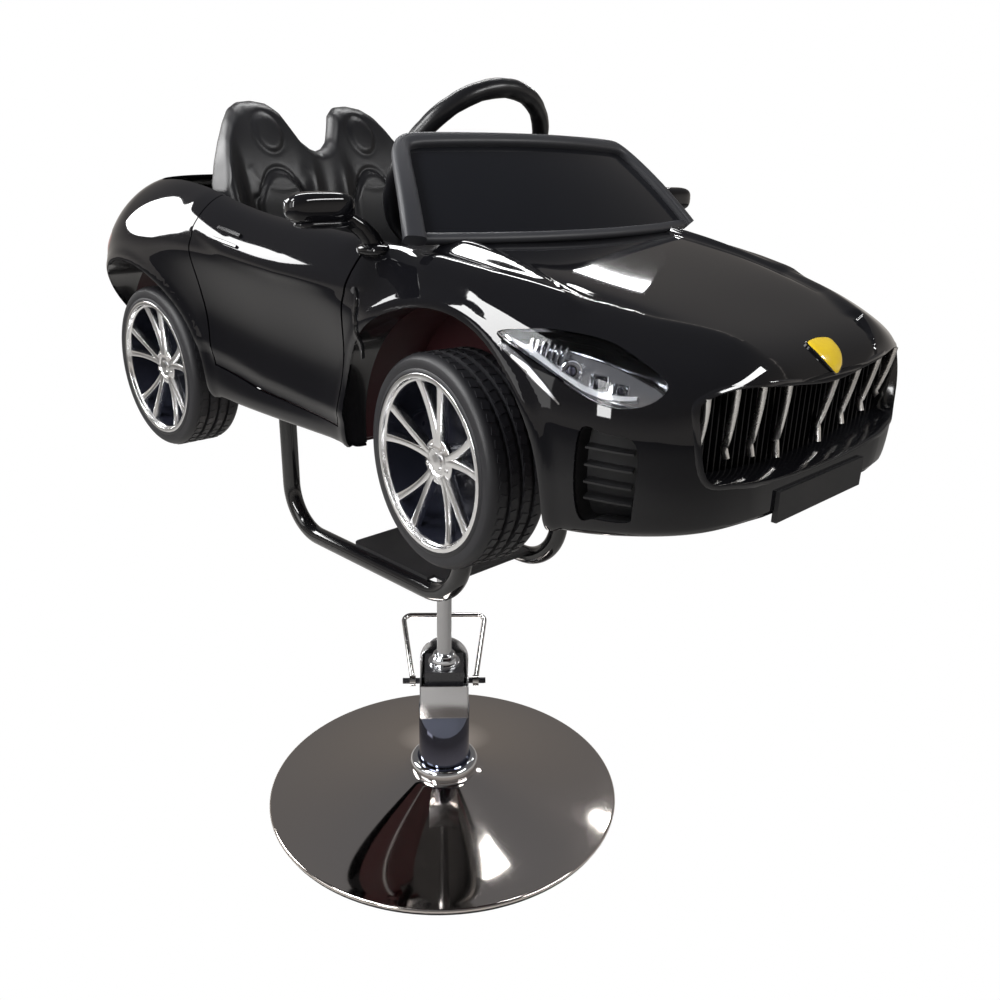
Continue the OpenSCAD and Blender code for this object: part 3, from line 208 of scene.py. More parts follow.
def finish(name, light, dark, smooth, rough, metallic=0.0, grain=0.0, grain_scale=600.0, patch=8.0, coat=0.0,
           specular=0.5, transmission=0.0, ior=1.5):
    """A material with drifting colour and roughness, a fine grain of a given height and an optional coat."""
    material = bpy.data.materials.new(name)
    material.use_nodes = True
    nodes, links = material.node_tree.nodes, material.node_tree.links
    shader = nodes["Principled BSDF"]
    set_inputs(shader, {"Metallic": metallic, "Specular IOR Level": specular, "Coat Weight": coat,
                        "Coat Roughness": 0.02, "Transmission Weight": transmission, "IOR": ior})
    vary = nodes.new("ShaderNodeGroup")
    vary.node_tree = surface_variation
    set_inputs(vary, {"Light": (*light, 1), "Dark": (*dark, 1), "Patch Scale": patch,
                      "Grain Scale": grain_scale, "Smooth": smooth, "Rough": rough})
    links.new(vary.outputs["Colour"], shader.inputs["Base Color"])
    links.new(vary.outputs["Roughness"], shader.inputs["Roughness"])
    if grain > 0:
        bump = nodes.new("ShaderNodeBump")
        set_inputs(bump, {"Strength": 0.4, "Distance": grain})
        links.new(vary.outputs["Grain"], bump.inputs["Height"])
        links.new(bump.outputs["Normal"], shader.inputs["Normal"])
    return material


def refinish(material, *nodes):
    """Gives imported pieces, which are shown in their own shape, a finish."""
    for node in nodes:
        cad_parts[node].data.materials.clear()
        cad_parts[node].data.materials.append(material)


def place_piece(name, bm, body, material, nodes=(), sharp=30.0):
    """Puts a finished mesh into the scene as a piece on a body, with edges over an angle kept sharp."""
    mesh = bpy.data.meshes.new(name)
    bm.to_mesh(mesh)
    bm.free()
    mesh.shade_smooth()
    mesh.set_sharp_from_angle(angle=radians(sharp))
    mesh.materials.append(material)
    piece = bpy.data.objects.new(name, mesh)
    bpy.context.scene.collection.objects.link(piece)
    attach(piece, body)
    if nodes:
        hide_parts(*nodes)


def moved(bm, matrix):
    """The same bmesh, all of it moved by a matrix."""
    bmesh.ops.transform(bm, matrix=matrix, verts=bm.verts)
    return bm


def spun(profile, steps, axis=(0, 0, 1), centre=(0, 0, 0)):
    """A solid of revolution from radius and height points, closed into a loop."""
    weld_gap = 1e-5
    bm = bmesh.new()
    verts = [bm.verts.new((r, 0, z)) for r, z in profile]
    edges = [bm.edges.new(pair) for pair in zip(verts, verts[1:] + verts[:1])]
    bmesh.ops.spin(bm, geom=verts + edges, cent=(0, 0, 0), axis=(0, 0, 1), angle=2 * pi, steps=steps,
                   use_merge=True)
    bmesh.ops.remove_doubles(bm, verts=bm.verts, dist=weld_gap)
    bmesh.ops.recalc_face_normals(bm, faces=bm.faces)
    turn = Vector((0, 0, 1)).rotation_difference(Vector(axis)).to_matrix().to_4x4()
    return moved(bm, Matrix.Translation(centre) @ turn)


def arc(cx, cz, r, start, end, steps):
    """Points on an arc, angles in degrees."""
    return [(cx + r * cos(radians(start + (end - start) * k / steps)),
             cz + r * sin(radians(start + (end - start) * k / steps))) for k in range(steps + 1)]


low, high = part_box("base_cover")
dish_r, dish_low, dish_top = high.x, low.z, high.z
rim_h, sheet, neck_r, neck_bore = 0.012, 0.0025, 0.060, 0.0433
roll_r, roll_z, lip_in, hem_in = 0.0035, 0.0075, 0.004, 0.006
dish_steps, dish_curve = 24, 1.6
slope = [(dish_r - lip_in - (dish_r - lip_in - neck_r) * k / dish_steps,
          rim_h + (dish_top - rim_h) * (k / dish_steps) ** dish_curve) for k in range(dish_steps + 1)]
edge = arc(dish_r - roll_r, dish_low + roll_z, roll_r, -90, 80, 8)
inner = [(r - sheet * 0.2, z - sheet) for r, z in reversed(slope)]
dish = spun(edge + slope + [(neck_bore, dish_top), (neck_bore, dish_top - sheet)] + inner
            + [(dish_r - hem_in, dish_low)], 160)
chrome_dish = finish("chrome_dish", (0.80, 0.75, 0.71), (0.74, 0.68, 0.64), 0.03, 0.07, metallic=1.0,
                     patch=3.0)
place_piece("base_dish", dish, "base", chrome_dish, ["base_cover"])
pad_rubber = finish("pad_rubber", (0.018, 0.018, 0.018), (0.03, 0.03, 0.03), 0.6, 0.8, grain=0.0001)
plate_paint = finish("plate_paint", (0.012, 0.012, 0.014), (0.020, 0.020, 0.022), 0.42, 0.6, grain=0.00006)
refinish(pad_rubber, "floor_pad")
refinish(plate_paint, "ballast_plate")

# Pump column
# The pump's outer tube in bright drawn steel, with a flange bolted to the ballast plate. A turned collar
# covers its foot, and a stepped gland guides the piston's rod out of the ground barrel at its top.
low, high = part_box("pump_tube")
tube_r, tube_wall, tube_edge, tube_foot, tube_top = 0.043, 0.003, 0.0012, low.z, high.z
flange_r, flange_t = high.x, 0.006
tube_lip = arc(tube_r - tube_edge, tube_top - tube_edge, tube_edge, 0, 90, 4)
column = spun([(tube_r - tube_wall, tube_foot), (flange_r, tube_foot), (flange_r, tube_foot + flange_t),
               (tube_r, tube_foot + flange_t)] + tube_lip + [(tube_r - tube_wall, tube_top)], 96)
chrome_tube = finish("chrome_tube", (0.80, 0.81, 0.83), (0.72, 0.73, 0.76), 0.03, 0.07, metallic=1.0)
# The column's chrome has a dark navy colour, which is a painted dark reflection. It is darker than the same
# chrome on the collar and the gland.
column_chrome_painted_dark = finish("column_chrome_painted_dark", (0.20, 0.22, 0.29), (0.12, 0.13, 0.19), 0.03, 0.07, metallic=1.0)
place_piece("pump_column", column, "base", column_chrome_painted_dark, ["pump_tube"])
low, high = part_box("base_collar")
collar_bore, collar_foot, collar_round, collar_lip, collar_bevel = 0.0431, 0.0025, 0.008, 0.003, 0.002
collar = spun([(collar_bore, low.z)]
              + arc(high.x - collar_foot, low.z + collar_foot, collar_foot, -90, 0, 4)
              + arc(high.x - collar_round, high.z - collar_round, collar_round, 0, 90, 8)
              + [(collar_bore + collar_lip, high.z), (collar_bore, high.z - collar_bevel)], 96)
place_piece("foot_collar", collar, "base", chrome_tube, ["base_collar"])
low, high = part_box("rod_gland")
rod_bore, plug_r, nut_r, barrel_top = 0.01205, 0.0219, 0.020, high.z - 0.018
ring_round, mouth_round, mouth_lip = 0.0015, 0.0025, 0.001
gland = spun([(rod_bore, low.z), (plug_r, low.z), (plug_r, barrel_top), (high.x, barrel_top)]
             + arc(high.x - ring_round, barrel_top + 0.0025, ring_round, 0, 90, 4)
             + [(nut_r + 0.001, barrel_top + 0.004), (nut_r, barrel_top + 0.006), (nut_r, high.z - 0.007),
                (nut_r - 0.003, high.z - 0.004)]
             + arc(rod_bore + mouth_lip + mouth_round, high.z - mouth_round, mouth_round, 0, 90, 4)
             + [(rod_bore, high.z)], 72)
place_piece("gland_rings", gland, "base", chrome_tube, ["rod_gland"])
zinc_plate = finish("zinc_plate", (0.45, 0.45, 0.46), (0.32, 0.32, 0.33), 0.25, 0.4, metallic=1.0,
                    grain=0.00003)
ground_steel = finish("ground_steel", (0.56, 0.56, 0.57), (0.48, 0.48, 0.49), 0.16, 0.26, metallic=1.0,
                      grain=0.00002, grain_scale=1400.0)
refinish(ground_steel, "pump_barrel", "piston", "piston_rod")
refinish(pad_rubber, "piston_seal")
refinish(zinc_plate, "pump_bolts")

# Pump frame
# A bracket folded from chromed steel sheet, with two cheeks and a round-topped back plate. It stands on the
# column round the black cast pump head, and its shelf leaves a square hole for the rod.


def bevel_all(bm, width, segments=2, angle=30.0):
    """Rounds every edge sharper than an angle."""
    edges = [e for e in bm.edges if len(e.link_faces) == 2 and e.calc_face_angle(0) > radians(angle)]
    bmesh.ops.bevel(bm, geom=edges, offset=width, offset_type="OFFSET", segments=segments, profile=0.5,
                    affect="EDGES", clamp_overlap=True, material=-1)


def block(size, centre, width=0.001, segments=2):
    """A box with rounded edges, in a bmesh of its own."""
    bm = bmesh.new()
    bmesh.ops.create_cube(bm, size=1.0)
    bmesh.ops.scale(bm, vec=size, verts=bm.verts)
    if width > 0:
        bevel_all(bm, width, segments)
    return moved(bm, Matrix.Translation(centre))


def join_into(target, *others):
    """Adds other bmeshes to a target one."""
    for other in others:
        mesh = bpy.data.meshes.new("joining")
        other.to_mesh(mesh)
        other.free()
        target.from_mesh(mesh)
        bpy.data.meshes.remove(mesh)
    return target


def slab(points, thickness, width=0.0):
    """A plate from a flat outline of x, y points, with its thickness upward and rounded edges."""
    bm = bmesh.new()
    face = bm.faces.new([bm.verts.new((x, y, 0)) for x, y in points])
    raised = bmesh.ops.extrude_face_region(bm, geom=[face])
    bmesh.ops.translate(bm, vec=(0, 0, thickness),
                        verts=[v for v in raised["geom"] if isinstance(v, bmesh.types.BMVert)])
    open_edges = [e for e in bm.edges if e.is_boundary]
    if open_edges:
        bmesh.ops.holes_fill(bm, edges=open_edges)
    bmesh.ops.recalc_face_normals(bm, faces=bm.faces)
    if width > 0:
        bevel_all(bm, width)
    return bm


pump_turn = Matrix.Rotation(radians(-41.7), 4, "Z")
bracket_w, bracket_front, bracket_back, bracket_t, bracket_h = 0.080, 0.045, 0.066, 0.003, 0.061
dome_r, dome_z, dome_edge, rod_room = 0.042, 0.228, 0.0008, 0.021
cheek_z, shelf_z = tube_top + bracket_h / 2, tube_top + bracket_t / 2
front_plate = block((bracket_w, bracket_t, bracket_h), (0, -bracket_front + bracket_t / 2, cheek_z))
cheeks = [block((bracket_t, bracket_front + bracket_back, bracket_h),
                (side * (bracket_w - bracket_t) / 2, (bracket_back - bracket_front) / 2, cheek_z))
          for side in (-1, 1)]
shelf = [block((bracket_w, reach - rod_room, bracket_t), (0, way * (reach + rod_room) / 2, shelf_z))
         for way, reach in ((-1, bracket_front), (1, bracket_back))]
shelf += [block((bracket_w / 2 - rod_room, 2 * rod_room, bracket_t),
                (side * (bracket_w / 2 + rod_room) / 2, 0, shelf_z)) for side in (-1, 1)]
back_line = [(-dome_r, tube_top), (dome_r, tube_top)] + arc(0, dome_z, dome_r, 0, 180, 32)
back_plate = slab(back_line, bracket_t, dome_edge)
moved(back_plate, Matrix.Translation((0, bracket_back, 0)) @ Matrix.Rotation(pi / 2, 4, "X"))
bracket = moved(join_into(front_plate, *cheeks, *shelf, back_plate), pump_turn)
bracket_chrome = finish("bracket_chrome", (0.72, 0.72, 0.73), (0.62, 0.62, 0.64), 0.16, 0.30, metallic=1.0,
                        grain=0.00004, grain_scale=900.0)
place_piece("pump_frame", bracket, "base", bracket_chrome, ["pump_bracket"])
head_iron = finish("head_iron", (0.012, 0.012, 0.014), (0.02, 0.02, 0.024), 0.18, 0.35, coat=0.4,
                   grain=0.00008, grain_scale=500.0)
refinish(head_iron, "pump_head")

# Foot pedal
# A bail bent from chromed bar on a blackened cross shaft, whose finger works the pump's ground plunger
# between the cheeks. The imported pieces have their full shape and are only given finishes.
bail_chrome = finish("bail_chrome", (0.78, 0.77, 0.76), (0.66, 0.65, 0.64), 0.05, 0.12, metallic=1.0)
shaft_black = finish("shaft_black", (0.02, 0.02, 0.025), (0.05, 0.05, 0.055), 0.2, 0.35, metallic=0.6)
refinish(bail_chrome, "pedal_bail")
refinish(shaft_black, "cross_shaft")
refinish(ground_steel, "pump_plunger")

# Carrier frame
# Two bent steel tubes in gloss black paint, strapped under the body and bolted to a painted plate on the
# rod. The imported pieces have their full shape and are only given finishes.
frame_paint = finish("frame_paint", (0.004, 0.004, 0.005), (0.010, 0.010, 0.011), 0.07, 0.16, coat=0.6)
refinish(frame_paint, "frame_tube_right", "frame_tube_left")
refinish(plate_paint, "mounting_plate", "frame_straps")
refinish(zinc_plate, "frame_bolts")

# Running gear
# Steel axles, steering knuckles, tie rod and steering shaft, zinc plated but for the painted front beam.
# They are fixed under the tray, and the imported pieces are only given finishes.
refinish(plate_paint, "front_axle_beam")
refinish(zinc_plate, "rear_axle", "knuckle_right", "knuckle_left", "tie_rod", "steering_shaft")

# Wheels
# Hard moulded toy tyres with a blocked tread, on plated plastic rims of five twin spokes round a bolted hub.
# A dark cup closes each rim behind its spokes, and the front wheels are turned a little to one side.
tyre_r, tyre_w, rim_r, seat_r, barrel_r, lip_t = 0.120, 0.080, 0.0992, 0.0950, 0.0905, 0.004
tyre_rubber = finish("tyre_rubber", (0.007, 0.007, 0.009), (0.013, 0.013, 0.016), 0.42, 0.62, grain=0.00008,
                     grain_scale=420.0)
rim_chrome = finish("rim_chrome", (0.96, 0.96, 0.96), (0.88, 0.88, 0.89), 0.12, 0.26, metallic=1.0,
                    patch=30.0)
well_black = finish("well_black", (0.012, 0.013, 0.02), (0.02, 0.022, 0.035), 0.15, 0.3, metallic=0.3)


def tyre_mesh():
    """Side walls with a step over the rim, and a crown with three grooves and rows of slanted blocks."""
    crown, shoulder, bead_r = tyre_r - 0.0008, 0.012, rim_r + 0.0003
    groove, groove_top, groove_foot = 0.0035, 0.0030, 0.0022
    wall = [(seat_r, -lip_t), (bead_r, -lip_t), (bead_r, 0.0)]
    wall += [(rim_r + 0.003, -0.0004), (rim_r + 0.0045, -0.0015), (rim_r + 0.007, -0.0012)]
    wall += arc(crown - shoulder, -shoulder, shoulder, 62, 8, 8)
    tread = []
    for middle in (-0.024, -0.040, -0.056):
        tread += [(crown, middle + groove_top), (crown - groove, middle + groove_foot),
                  (crown - groove, middle - groove_foot), (crown, middle - groove_top)]
    bm = spun(wall + tread + [(r, -tyre_w - z) for r, z in reversed(wall)], 96)
    lug_deep, lug_wide, lug_sink, lugs, slant = 0.0018, 0.0085, 0.0001, 54, radians(14)
    lug_rows = ((-0.0165, 0.009), (-0.032, 0.0085), (-0.048, 0.0085), (-0.0635, 0.009))
    for row, (place, long) in enumerate(lug_rows):
        for i in range(lugs):
            around = Matrix.Rotation(2 * pi * (i + row * 0.5) / lugs, 4, "Z")
            lean = Matrix.Rotation(slant if row % 2 else -slant, 4, "X")
            lug = block((lug_deep, lug_wide, long), (0, 0, 0), width=0)
            join_into(bm, moved(lug, around @ Matrix.Translation((crown - lug_sink, 0, place)) @ lean))
    return bm


def spoke(splay):
    """One curved bar from the hub to the rim, wide at both ends and leaning back towards the hub."""
    hub_reach, spoke_run, waist, hub_flare, rim_flare = 0.016, 0.0755, 0.0092, 0.0028, 0.0040
    hub_deep, deep_loss, face_share, hub_sink, face_rise = 0.012, 0.004, 0.72, -0.0155, 0.0105
    bm = bmesh.new()
    bmesh.ops.create_cube(bm, size=1.0)
    bmesh.ops.subdivide_edges(bm, edges=[e for e in bm.edges if abs(e.verts[0].co.x - e.verts[1].co.x) > 0.5],
                              cuts=12)
    for v in bm.verts:
        along = v.co.x + 0.5
        reach = hub_reach + along * spoke_run
        wide = waist + hub_flare * (1 - along) ** 2 + rim_flare * along ** 4
        turn = radians(splay) * (0.45 + 0.55 * along)
        side = v.co.y * wide * (1 if v.co.z < 0 else face_share)
        front = hub_sink + face_rise * along ** 1.6
        v.co = (reach * cos(turn) - side * sin(turn), reach * sin(turn) + side * cos(turn),
                front + (v.co.z - 0.5) * (hub_deep - deep_loss * along))
    bmesh.ops.recalc_face_normals(bm, faces=bm.faces)
    bevel_all(bm, 0.0007, 2, 50)
    return bm


def rim_mesh():
    """Lip, barrel, hub, spokes and nuts of a rim, its outer face at zero."""
    lip_round, lip_in, nut_ring, axis_r, spokes = 0.0012, 0.0945, 0.0196, 0.0001, 5
    bm = spun([(barrel_r, -tyre_w), (rim_r, -tyre_w), (rim_r, -tyre_w + lip_t), (seat_r, -tyre_w + lip_t),
               (seat_r, -lip_t), (rim_r, -lip_t)] + arc(rim_r - lip_round, -lip_round, lip_round, 0, 90, 4)
              + arc(lip_in, -lip_round, lip_round, 90, 180, 4) + [(0.0925, -lip_t), (barrel_r, -0.0055)], 128)
    for i in range(spokes):
        for splay in (-13, 13):
            join_into(bm, moved(spoke(splay), Matrix.Rotation(2 * pi * i / spokes, 4, "Z")))
    hub = spun([(axis_r, -0.052), (0.016, -0.052), (0.020, -0.026), (0.0262, -0.0225)]
               + arc(0.0245, -0.0185, 0.0018, 0, 80, 4)
               + [(0.0155, -0.0150), (0.0140, -0.0165), (0.0100, -0.0165), (0.0088, -0.0140),
                  (axis_r, -0.0132)], 64)
    join_into(bm, hub)
    for i in range(spokes):
        turn = 2 * pi * (i + 0.5) / spokes
        nut = spun([(axis_r, -0.0175), (0.0026, -0.0175), (0.0026, -0.0150), (0.0018, -0.0145),
                    (axis_r, -0.0145)], 12)
        join_into(bm, moved(nut, Matrix.Translation((nut_ring * cos(turn), nut_ring * sin(turn), 0))))
    return bm


tyre, rim = tyre_mesh(), rim_mesh()
well = spun([(0.006, -0.056), (0.088, -0.056), (0.0903, -0.050), (0.0903, -0.0065), (0.0895, -0.0065),
             (0.0893, -0.049), (0.087, -0.0545), (0.006, -0.0545)], 72)
king_side, king_out, axle_z, rear_axle_back, track, steer_rest = 0.170, 0.2945, 0.7295, 0.3486, 0.558, -7.6
for end in ("front", "rear"):
    for name, side in (("right", -1), ("left", 1)):
        place = Matrix.Translation((side * track / 2, rear_axle_back, axle_z))
        if end == "front":
            place = (Matrix.Translation((side * king_side, -king_out, axle_z))
                     @ Matrix.Rotation(radians(steer_rest), 4, "Z")
                     @ Matrix.Translation((side * (track / 2 - king_side), 0, 0)))
        place = place @ Matrix.Rotation(side * pi / 2, 4, "Y")
        body, wheel = f"wheel_{end[0]}{name[0]}", f"{end}_{name}"
        place_piece(f"tyre_{wheel}_wheel", moved(tyre.copy(), place), body, tyre_rubber,
                    [f"tyre_{wheel}"], 35)
        place_piece(f"rim_{wheel}_wheel", moved(rim.copy(), place), body, rim_chrome,
                    [f"rim_{wheel}"], 35)
        place_piece(f"well_{wheel}", moved(well.copy(), place), body, well_black)

# Body shell
# The toy car's body, blow moulded in plastic and sprayed gloss black, on a maroon tray. One spline surface is
# folded on bonnet, flanks and arches, made a thin wall, and cut for its doors, wheels, lamps and cockpit.
car_l, body_half, body_z, body_h, nose_y, wall = 1.110, 0.306, 0.700, 0.316, -0.596, 0.003
# A station is its share of the length, its half width, low edge and top, and the number of its form.
station_shares = np.array([
    [0, .46, .05, .468, 0], [.007, .62, .044, .516, 0], [.031, .756, .03, .57, 0],
    [.077, .857, .005, .617, 0], [.14, .907, -.03, .677, .1], [.222, .925, -.01, .74, .8],
    [.303, .925, .02, .797, 1], [.384, .928, .025, .842, 1.5], [.474, .938, .025, .861, 2],
    [.573, .948, .025, .873, 2], [.663, .961, .03, .918, 2], [.735, .98, .044, .975, 2.5],
    [.816, 1, .057, 1, 3], [.888, .997, .082, .965, 3], [.947, .94, .12, .896, 3.4],
    [.987, .80, .158, .81, 4], [1, .60, .184, .728, 4]])
# A form runs from the bottom edge up to the middle, in shares of the station's half width and height.
form_shares = np.array([
    [[.80, 0], [.92, 0], [.975, .09], [1, .25], [1, .40], [1, .53], [.996, .60], [.966, .76], [.897, .89],
     [.76, .955], [.57, 1.005], [.53, 1.015], [0, 1]],
    [[.85, 0], [.936, 0], [.955, .09], [.974, .24], [.99, .41], [1, .585], [.996, .67], [.956, .815],
     [.887, .935], [.81, .955], [.70, .985], [.66, 1.005], [0, 1]],
    [[.83, 0], [.91, 0], [.924, .075], [.90, .213], [.915, .48], [1, .72], [.997, .77], [.94, .86],
     [.868, .945], [.78, .963], [.66, .978], [.62, .98], [0, 1]],
    [[.785, 0], [.877, 0], [.92, .083], [.967, .26], [.998, .49], [1, .63], [.993, .693], [.925, .842],
     [.792, .964], [.675, .988], [.52, .994], [.48, .995], [0, 1]],
    [[.70, 0], [.84, 0], [.915, .095], [.986, .285], [1.01, .487], [1, .603], [.989, .672], [.906, .825],
     [.78, .94], [.64, .98], [.50, .992], [.46, .994], [0, 1]]])
arches = ((-0.285, 0.734, 0.163), (0.349, 0.734, 0.156))
# A crease is its line, how far it fades outward and inward, and its height.
bonnet_creases = ((((.183, -.20), (.195, -.34), (.20, -.42), (.17, -.49), (.130, -.545)), .008, .042, .0072),
                  (((.236, -.255), (.227, -.328), (.208, -.41)), .007, .020, .0042))
flank_creases = ((((-.135, .752), (-.05, .756), (.06, .766), (.165, .785)), .010, .034, .0045),
                 (((-.16, .905), (-.02, .910), (.10, .924), (.20, .955)), .008, .028, .0030))


def spline(points, at, mirrored=False):
    """Points on a uniform cubic B-spline, whose ends run on straight or into a mirror image."""
    last = points[-2] * np.array([-1, 1]) if mirrored else 2 * points[-1] - points[-2]
    row = np.concatenate([[2 * points[0] - points[1]], points, [last]])
    at = np.clip(at, 0, len(points) - 1 - 1e-9)
    step = at.astype(int)
    f = (at - step).reshape((-1,) + (1,) * (points.ndim - 1))
    weights = ((1 - f) ** 3, 3 * f ** 3 - 6 * f ** 2 + 4, -3 * f ** 3 + 3 * f ** 2 + 3 * f + 1, f ** 3)
    return sum(w / 6 * row[step + k] for k, w in enumerate(weights))


def skin_rows(rows, columns):
    """The plain surface's left half: rows from nose to tail, columns from the bottom edge to the middle."""
    sections = []
    for _, half, low_share, top_share, form in station_shares:
        k = int(min(form, 3))
        shape = form_shares[k] * (1 - form + k) + form_shares[k + 1] * (form - k)
        sections.append(np.stack([shape[:, 0] * half * body_half,
                                  body_z + body_h * (low_share + shape[:, 1] * (top_share - low_share))], -1))
    at = np.linspace(0, len(sections) - 1, rows)
    along = spline(nose_y + car_l * station_shares[:, 0], at)
    shapes = spline(np.array(sections), at)
    points = np.empty((rows, columns, 3))
    for i in range(rows):
        points[i, :, (0, 2)] = spline(shapes[i], np.linspace(0, shapes.shape[1] - 1, columns), True).T
        points[i, :, 1] = along[i]
    return points


def line_gap(a, b, line):
    """Distance from points to a polyline in a plane, and which side they lie on."""
    best = np.full(a.shape, 1e9)
    side = np.zeros(a.shape)
    for (p, q), (r, s) in zip(line, line[1:]):
        run = np.array([r - p, s - q])
        share = np.clip(((a - p) * run[0] + (b - q) * run[1]) / (run @ run), 0, 1)
        gap = np.hypot(a - p - share * run[0], b - q - share * run[1])
        turn = np.sign((a - p) * run[1] - (b - q) * run[0])
        side = np.where(gap < best, turn, side)
        best = np.minimum(gap, best)
    return best, side


def unit_normals(points):
    """Unit normals of a grid of points, all on one side of it."""
    normal = np.cross(np.gradient(points, axis=0), np.gradient(points, axis=1))
    return normal / (np.linalg.norm(normal, axis=-1, keepdims=True) + 1e-12)


def folded(points):
    """Moves surface points along their normals to fold the bonnet, the flanks and the wheel arches."""
    x, y, z = points[..., 0], points[..., 1], points[..., 2]
    normal = unit_normals(points)
    normal *= np.sign(normal[..., :1] + normal[..., 2:] + 1e-9)
    upward, outward = np.clip(normal[..., 2] * 3, 0, 1), np.clip(normal[..., 0] * 3, 0, 1)
    lift = np.zeros(x.shape)
    for creases, a, b, share in ((bonnet_creases, x, y, upward),
                                 (flank_creases, y, z, outward * (y > -0.2) * (y < 0.30))):
        for line, out, into, tall in creases:
            gap, side = line_gap(a, b, line)
            lift += share * tall * np.exp(-(gap / np.where(side > 0, out, into)) ** 2)
    for back, high_z, r in arches:
        gap = np.hypot(y - back, z - high_z) - r
        lift += outward * (.0035 * np.exp(-((gap - .004) / .009) ** 2)
                           + .002 * np.exp(-((gap - .012) / .03) ** 2))
    return points + normal * lift[..., None]


def skin_wall(thickness, depth=0.0, rows=240, columns=96, span=None, capped=False):
    """The surface as a wall of some thickness from a depth under the paint, deep ones without the folds."""
    plain = skin_rows(rows, columns)
    half = plain if depth > 0.002 else folded(plain)
    if span:
        half = half[(half[:, 0, 1] > span[0]) & (half[:, 0, 1] < span[1])]
    whole = np.concatenate([half, half[:, -2::-1] * np.array([-1, 1, 1])], axis=1)
    normal = unit_normals(whole)
    normal *= np.sign(normal[len(normal) // 2, columns - 1, 2])
    if capped:
        cap_steps = ((0.04, 0.0008), (0.15, 0.0014), (0.5, 0.0016), (1.0, 0.0016))
        for end, way in ((0, -1.0), (-1, 1.0)):
            caps = [whole[end] * np.array([1 - share, 1, 1]) + np.array([0, way * push, 0])
                    for share, push in cap_steps]
            flat = [np.tile([0.0, way, 0.0], (whole.shape[1], 1))] * len(caps)
            if end:
                whole, normal = np.concatenate([whole, caps]), np.concatenate([normal, flat])
            else:
                whole, normal = np.concatenate([caps[::-1], whole]), np.concatenate([flat, normal])
    last_row, last_column = whole.shape[0] - 1, whole.shape[1] - 1
    bm = bmesh.new()
    for inward in (depth, depth + thickness):
        points = whole - normal * inward
        sheet = bmesh.new()
        bmesh.ops.create_grid(sheet, x_segments=last_row, y_segments=last_column, size=1.0)
        for v in sheet.verts:
            v.co = points[round((v.co.x + 1) / 2 * last_row), round((v.co.y + 1) / 2 * last_column)]
        join_into(bm, sheet)
    bmesh.ops.remove_doubles(bm, verts=bm.verts, dist=1e-6)
    bmesh.ops.bridge_loops(bm, edges=[e for e in bm.edges if e.is_boundary])
    bmesh.ops.recalc_face_normals(bm, faces=bm.faces)
    return bm


def carve(bm, operation, *cutters):
    """A bmesh with others cut out of it, or with only what lies inside another kept."""
    objects = []
    for work in (bm, *cutters):
        mesh = bpy.data.meshes.new("carving")
        work.to_mesh(mesh)
        work.free()
        objects.append(bpy.data.objects.new("carving", mesh))
        bpy.context.scene.collection.objects.link(objects[-1])
    for tool in objects[1:]:
        cut = objects[0].modifiers.new("cut", "BOOLEAN")
        cut.solver, cut.operation, cut.object = "MANIFOLD", operation, tool
    result = bmesh.new()
    result.from_mesh(objects[0].evaluated_get(bpy.context.evaluated_depsgraph_get()).to_mesh())
    for used in objects:
        mesh = used.data
        bpy.data.objects.remove(used)
        bpy.data.meshes.remove(mesh)
    return result


def side_outline(shares):
    """Side view points from shares of length and height."""
    return [(nose_y + car_l * y, body_z + body_h * z) for y, z in shares]


def rounded(points, steps=6, grow=0.0):
    """A closed smooth line through points, grown outward by a distance."""
    p = np.array(points)
    if ((p - np.roll(p, -1, 0)) @ [[0, 1], [-1, 0]] * np.roll(p, -1, 0)).sum() < 0:
        p = p[::-1]
    rows = []
    for a, b, c, d in zip(np.roll(p, 1, 0), p, np.roll(p, -1, 0), np.roll(p, -2, 0)):
        for k in range(steps):
            t = k / steps
            rows.append(b + .5 * t * (c - a + t * (2 * a - 5 * b + 4 * c - d + t * (3 * (b - c) + d - a))))
    line = np.array(rows)
    if grow:
        run = np.roll(line, -1, 0) - np.roll(line, 1, 0)
        run /= np.linalg.norm(run, axis=1, keepdims=True)
        out = np.stack([run[:, 1], -run[:, 0]], 1)
        area = (line[:, 0] * np.roll(line[:, 1], -1) - np.roll(line[:, 0], -1) * line[:, 1]).sum()
        line = line + out * grow * np.sign(area)
    return [tuple(q) for q in line]


def side_prism(points, near, far):
    """A prism across the car from a side view outline of y, z points."""
    across = Matrix(((0, 0, 1, near), (1, 0, 0, 0), (0, 1, 0, 0), (0, 0, 0, 1)))
    return moved(slab(points, far - near), across)


def front_prism(points, near, far):
    """A prism along the car from a front view outline of x, z points."""
    along = Matrix(((1, 0, 0, 0), (0, 0, -1, far), (0, 1, 0, 0), (0, 0, 0, 1)))
    return moved(slab(points, far - near), along)


flank_near, flank_far = 0.12, 0.34


def both_sides(points, near=flank_near):
    """The two prisms of a side view outline, right and left."""
    return side_prism(points, -flank_far, -near), side_prism(points, near, flank_far)


lamp_line = side_outline([[.196, .582], [.169, .606], [.144, .611], [.096, .585], [.046, .50], [.055, .437],
                          [.087, .430], [.1405, .503]])
intake_line = side_outline([[.100, .345], [.078, .350], [.057, .338], [.052, .26], [.055, .12], [.060, .082],
                            [.085, .078], [.100, .088]])
tail_line = side_outline([[.905, .70], [.945, .715], [.965, .70], [.975, .66], [.972, .60], [.955, .575],
                          [.925, .60], [.908, .64]])
door_line = side_outline([[.398, .82], [.402, .633], [.4425, .111], [.60, .150], [.688, .206], [.692, .50],
                          [.690, 1.05], [.397, 1.05]])
grille_half = [(body_half * x, body_z + body_h * z) for x, z in (
    (0, .446), (.30, .472), (.516, .488), (.64, .465), (.68, .41), (.65, .225), (.52, .190), (.26, .160),
    (0, .152))]
grille_line = grille_half + [(-x, z) for x, z in reversed(grille_half[1:-1])]
nose_front, grille_reach, beside = -0.70, -0.50, 0.40
tail_y, split_y, split_z = nose_y + car_l + 0.02, -0.285, 0.734
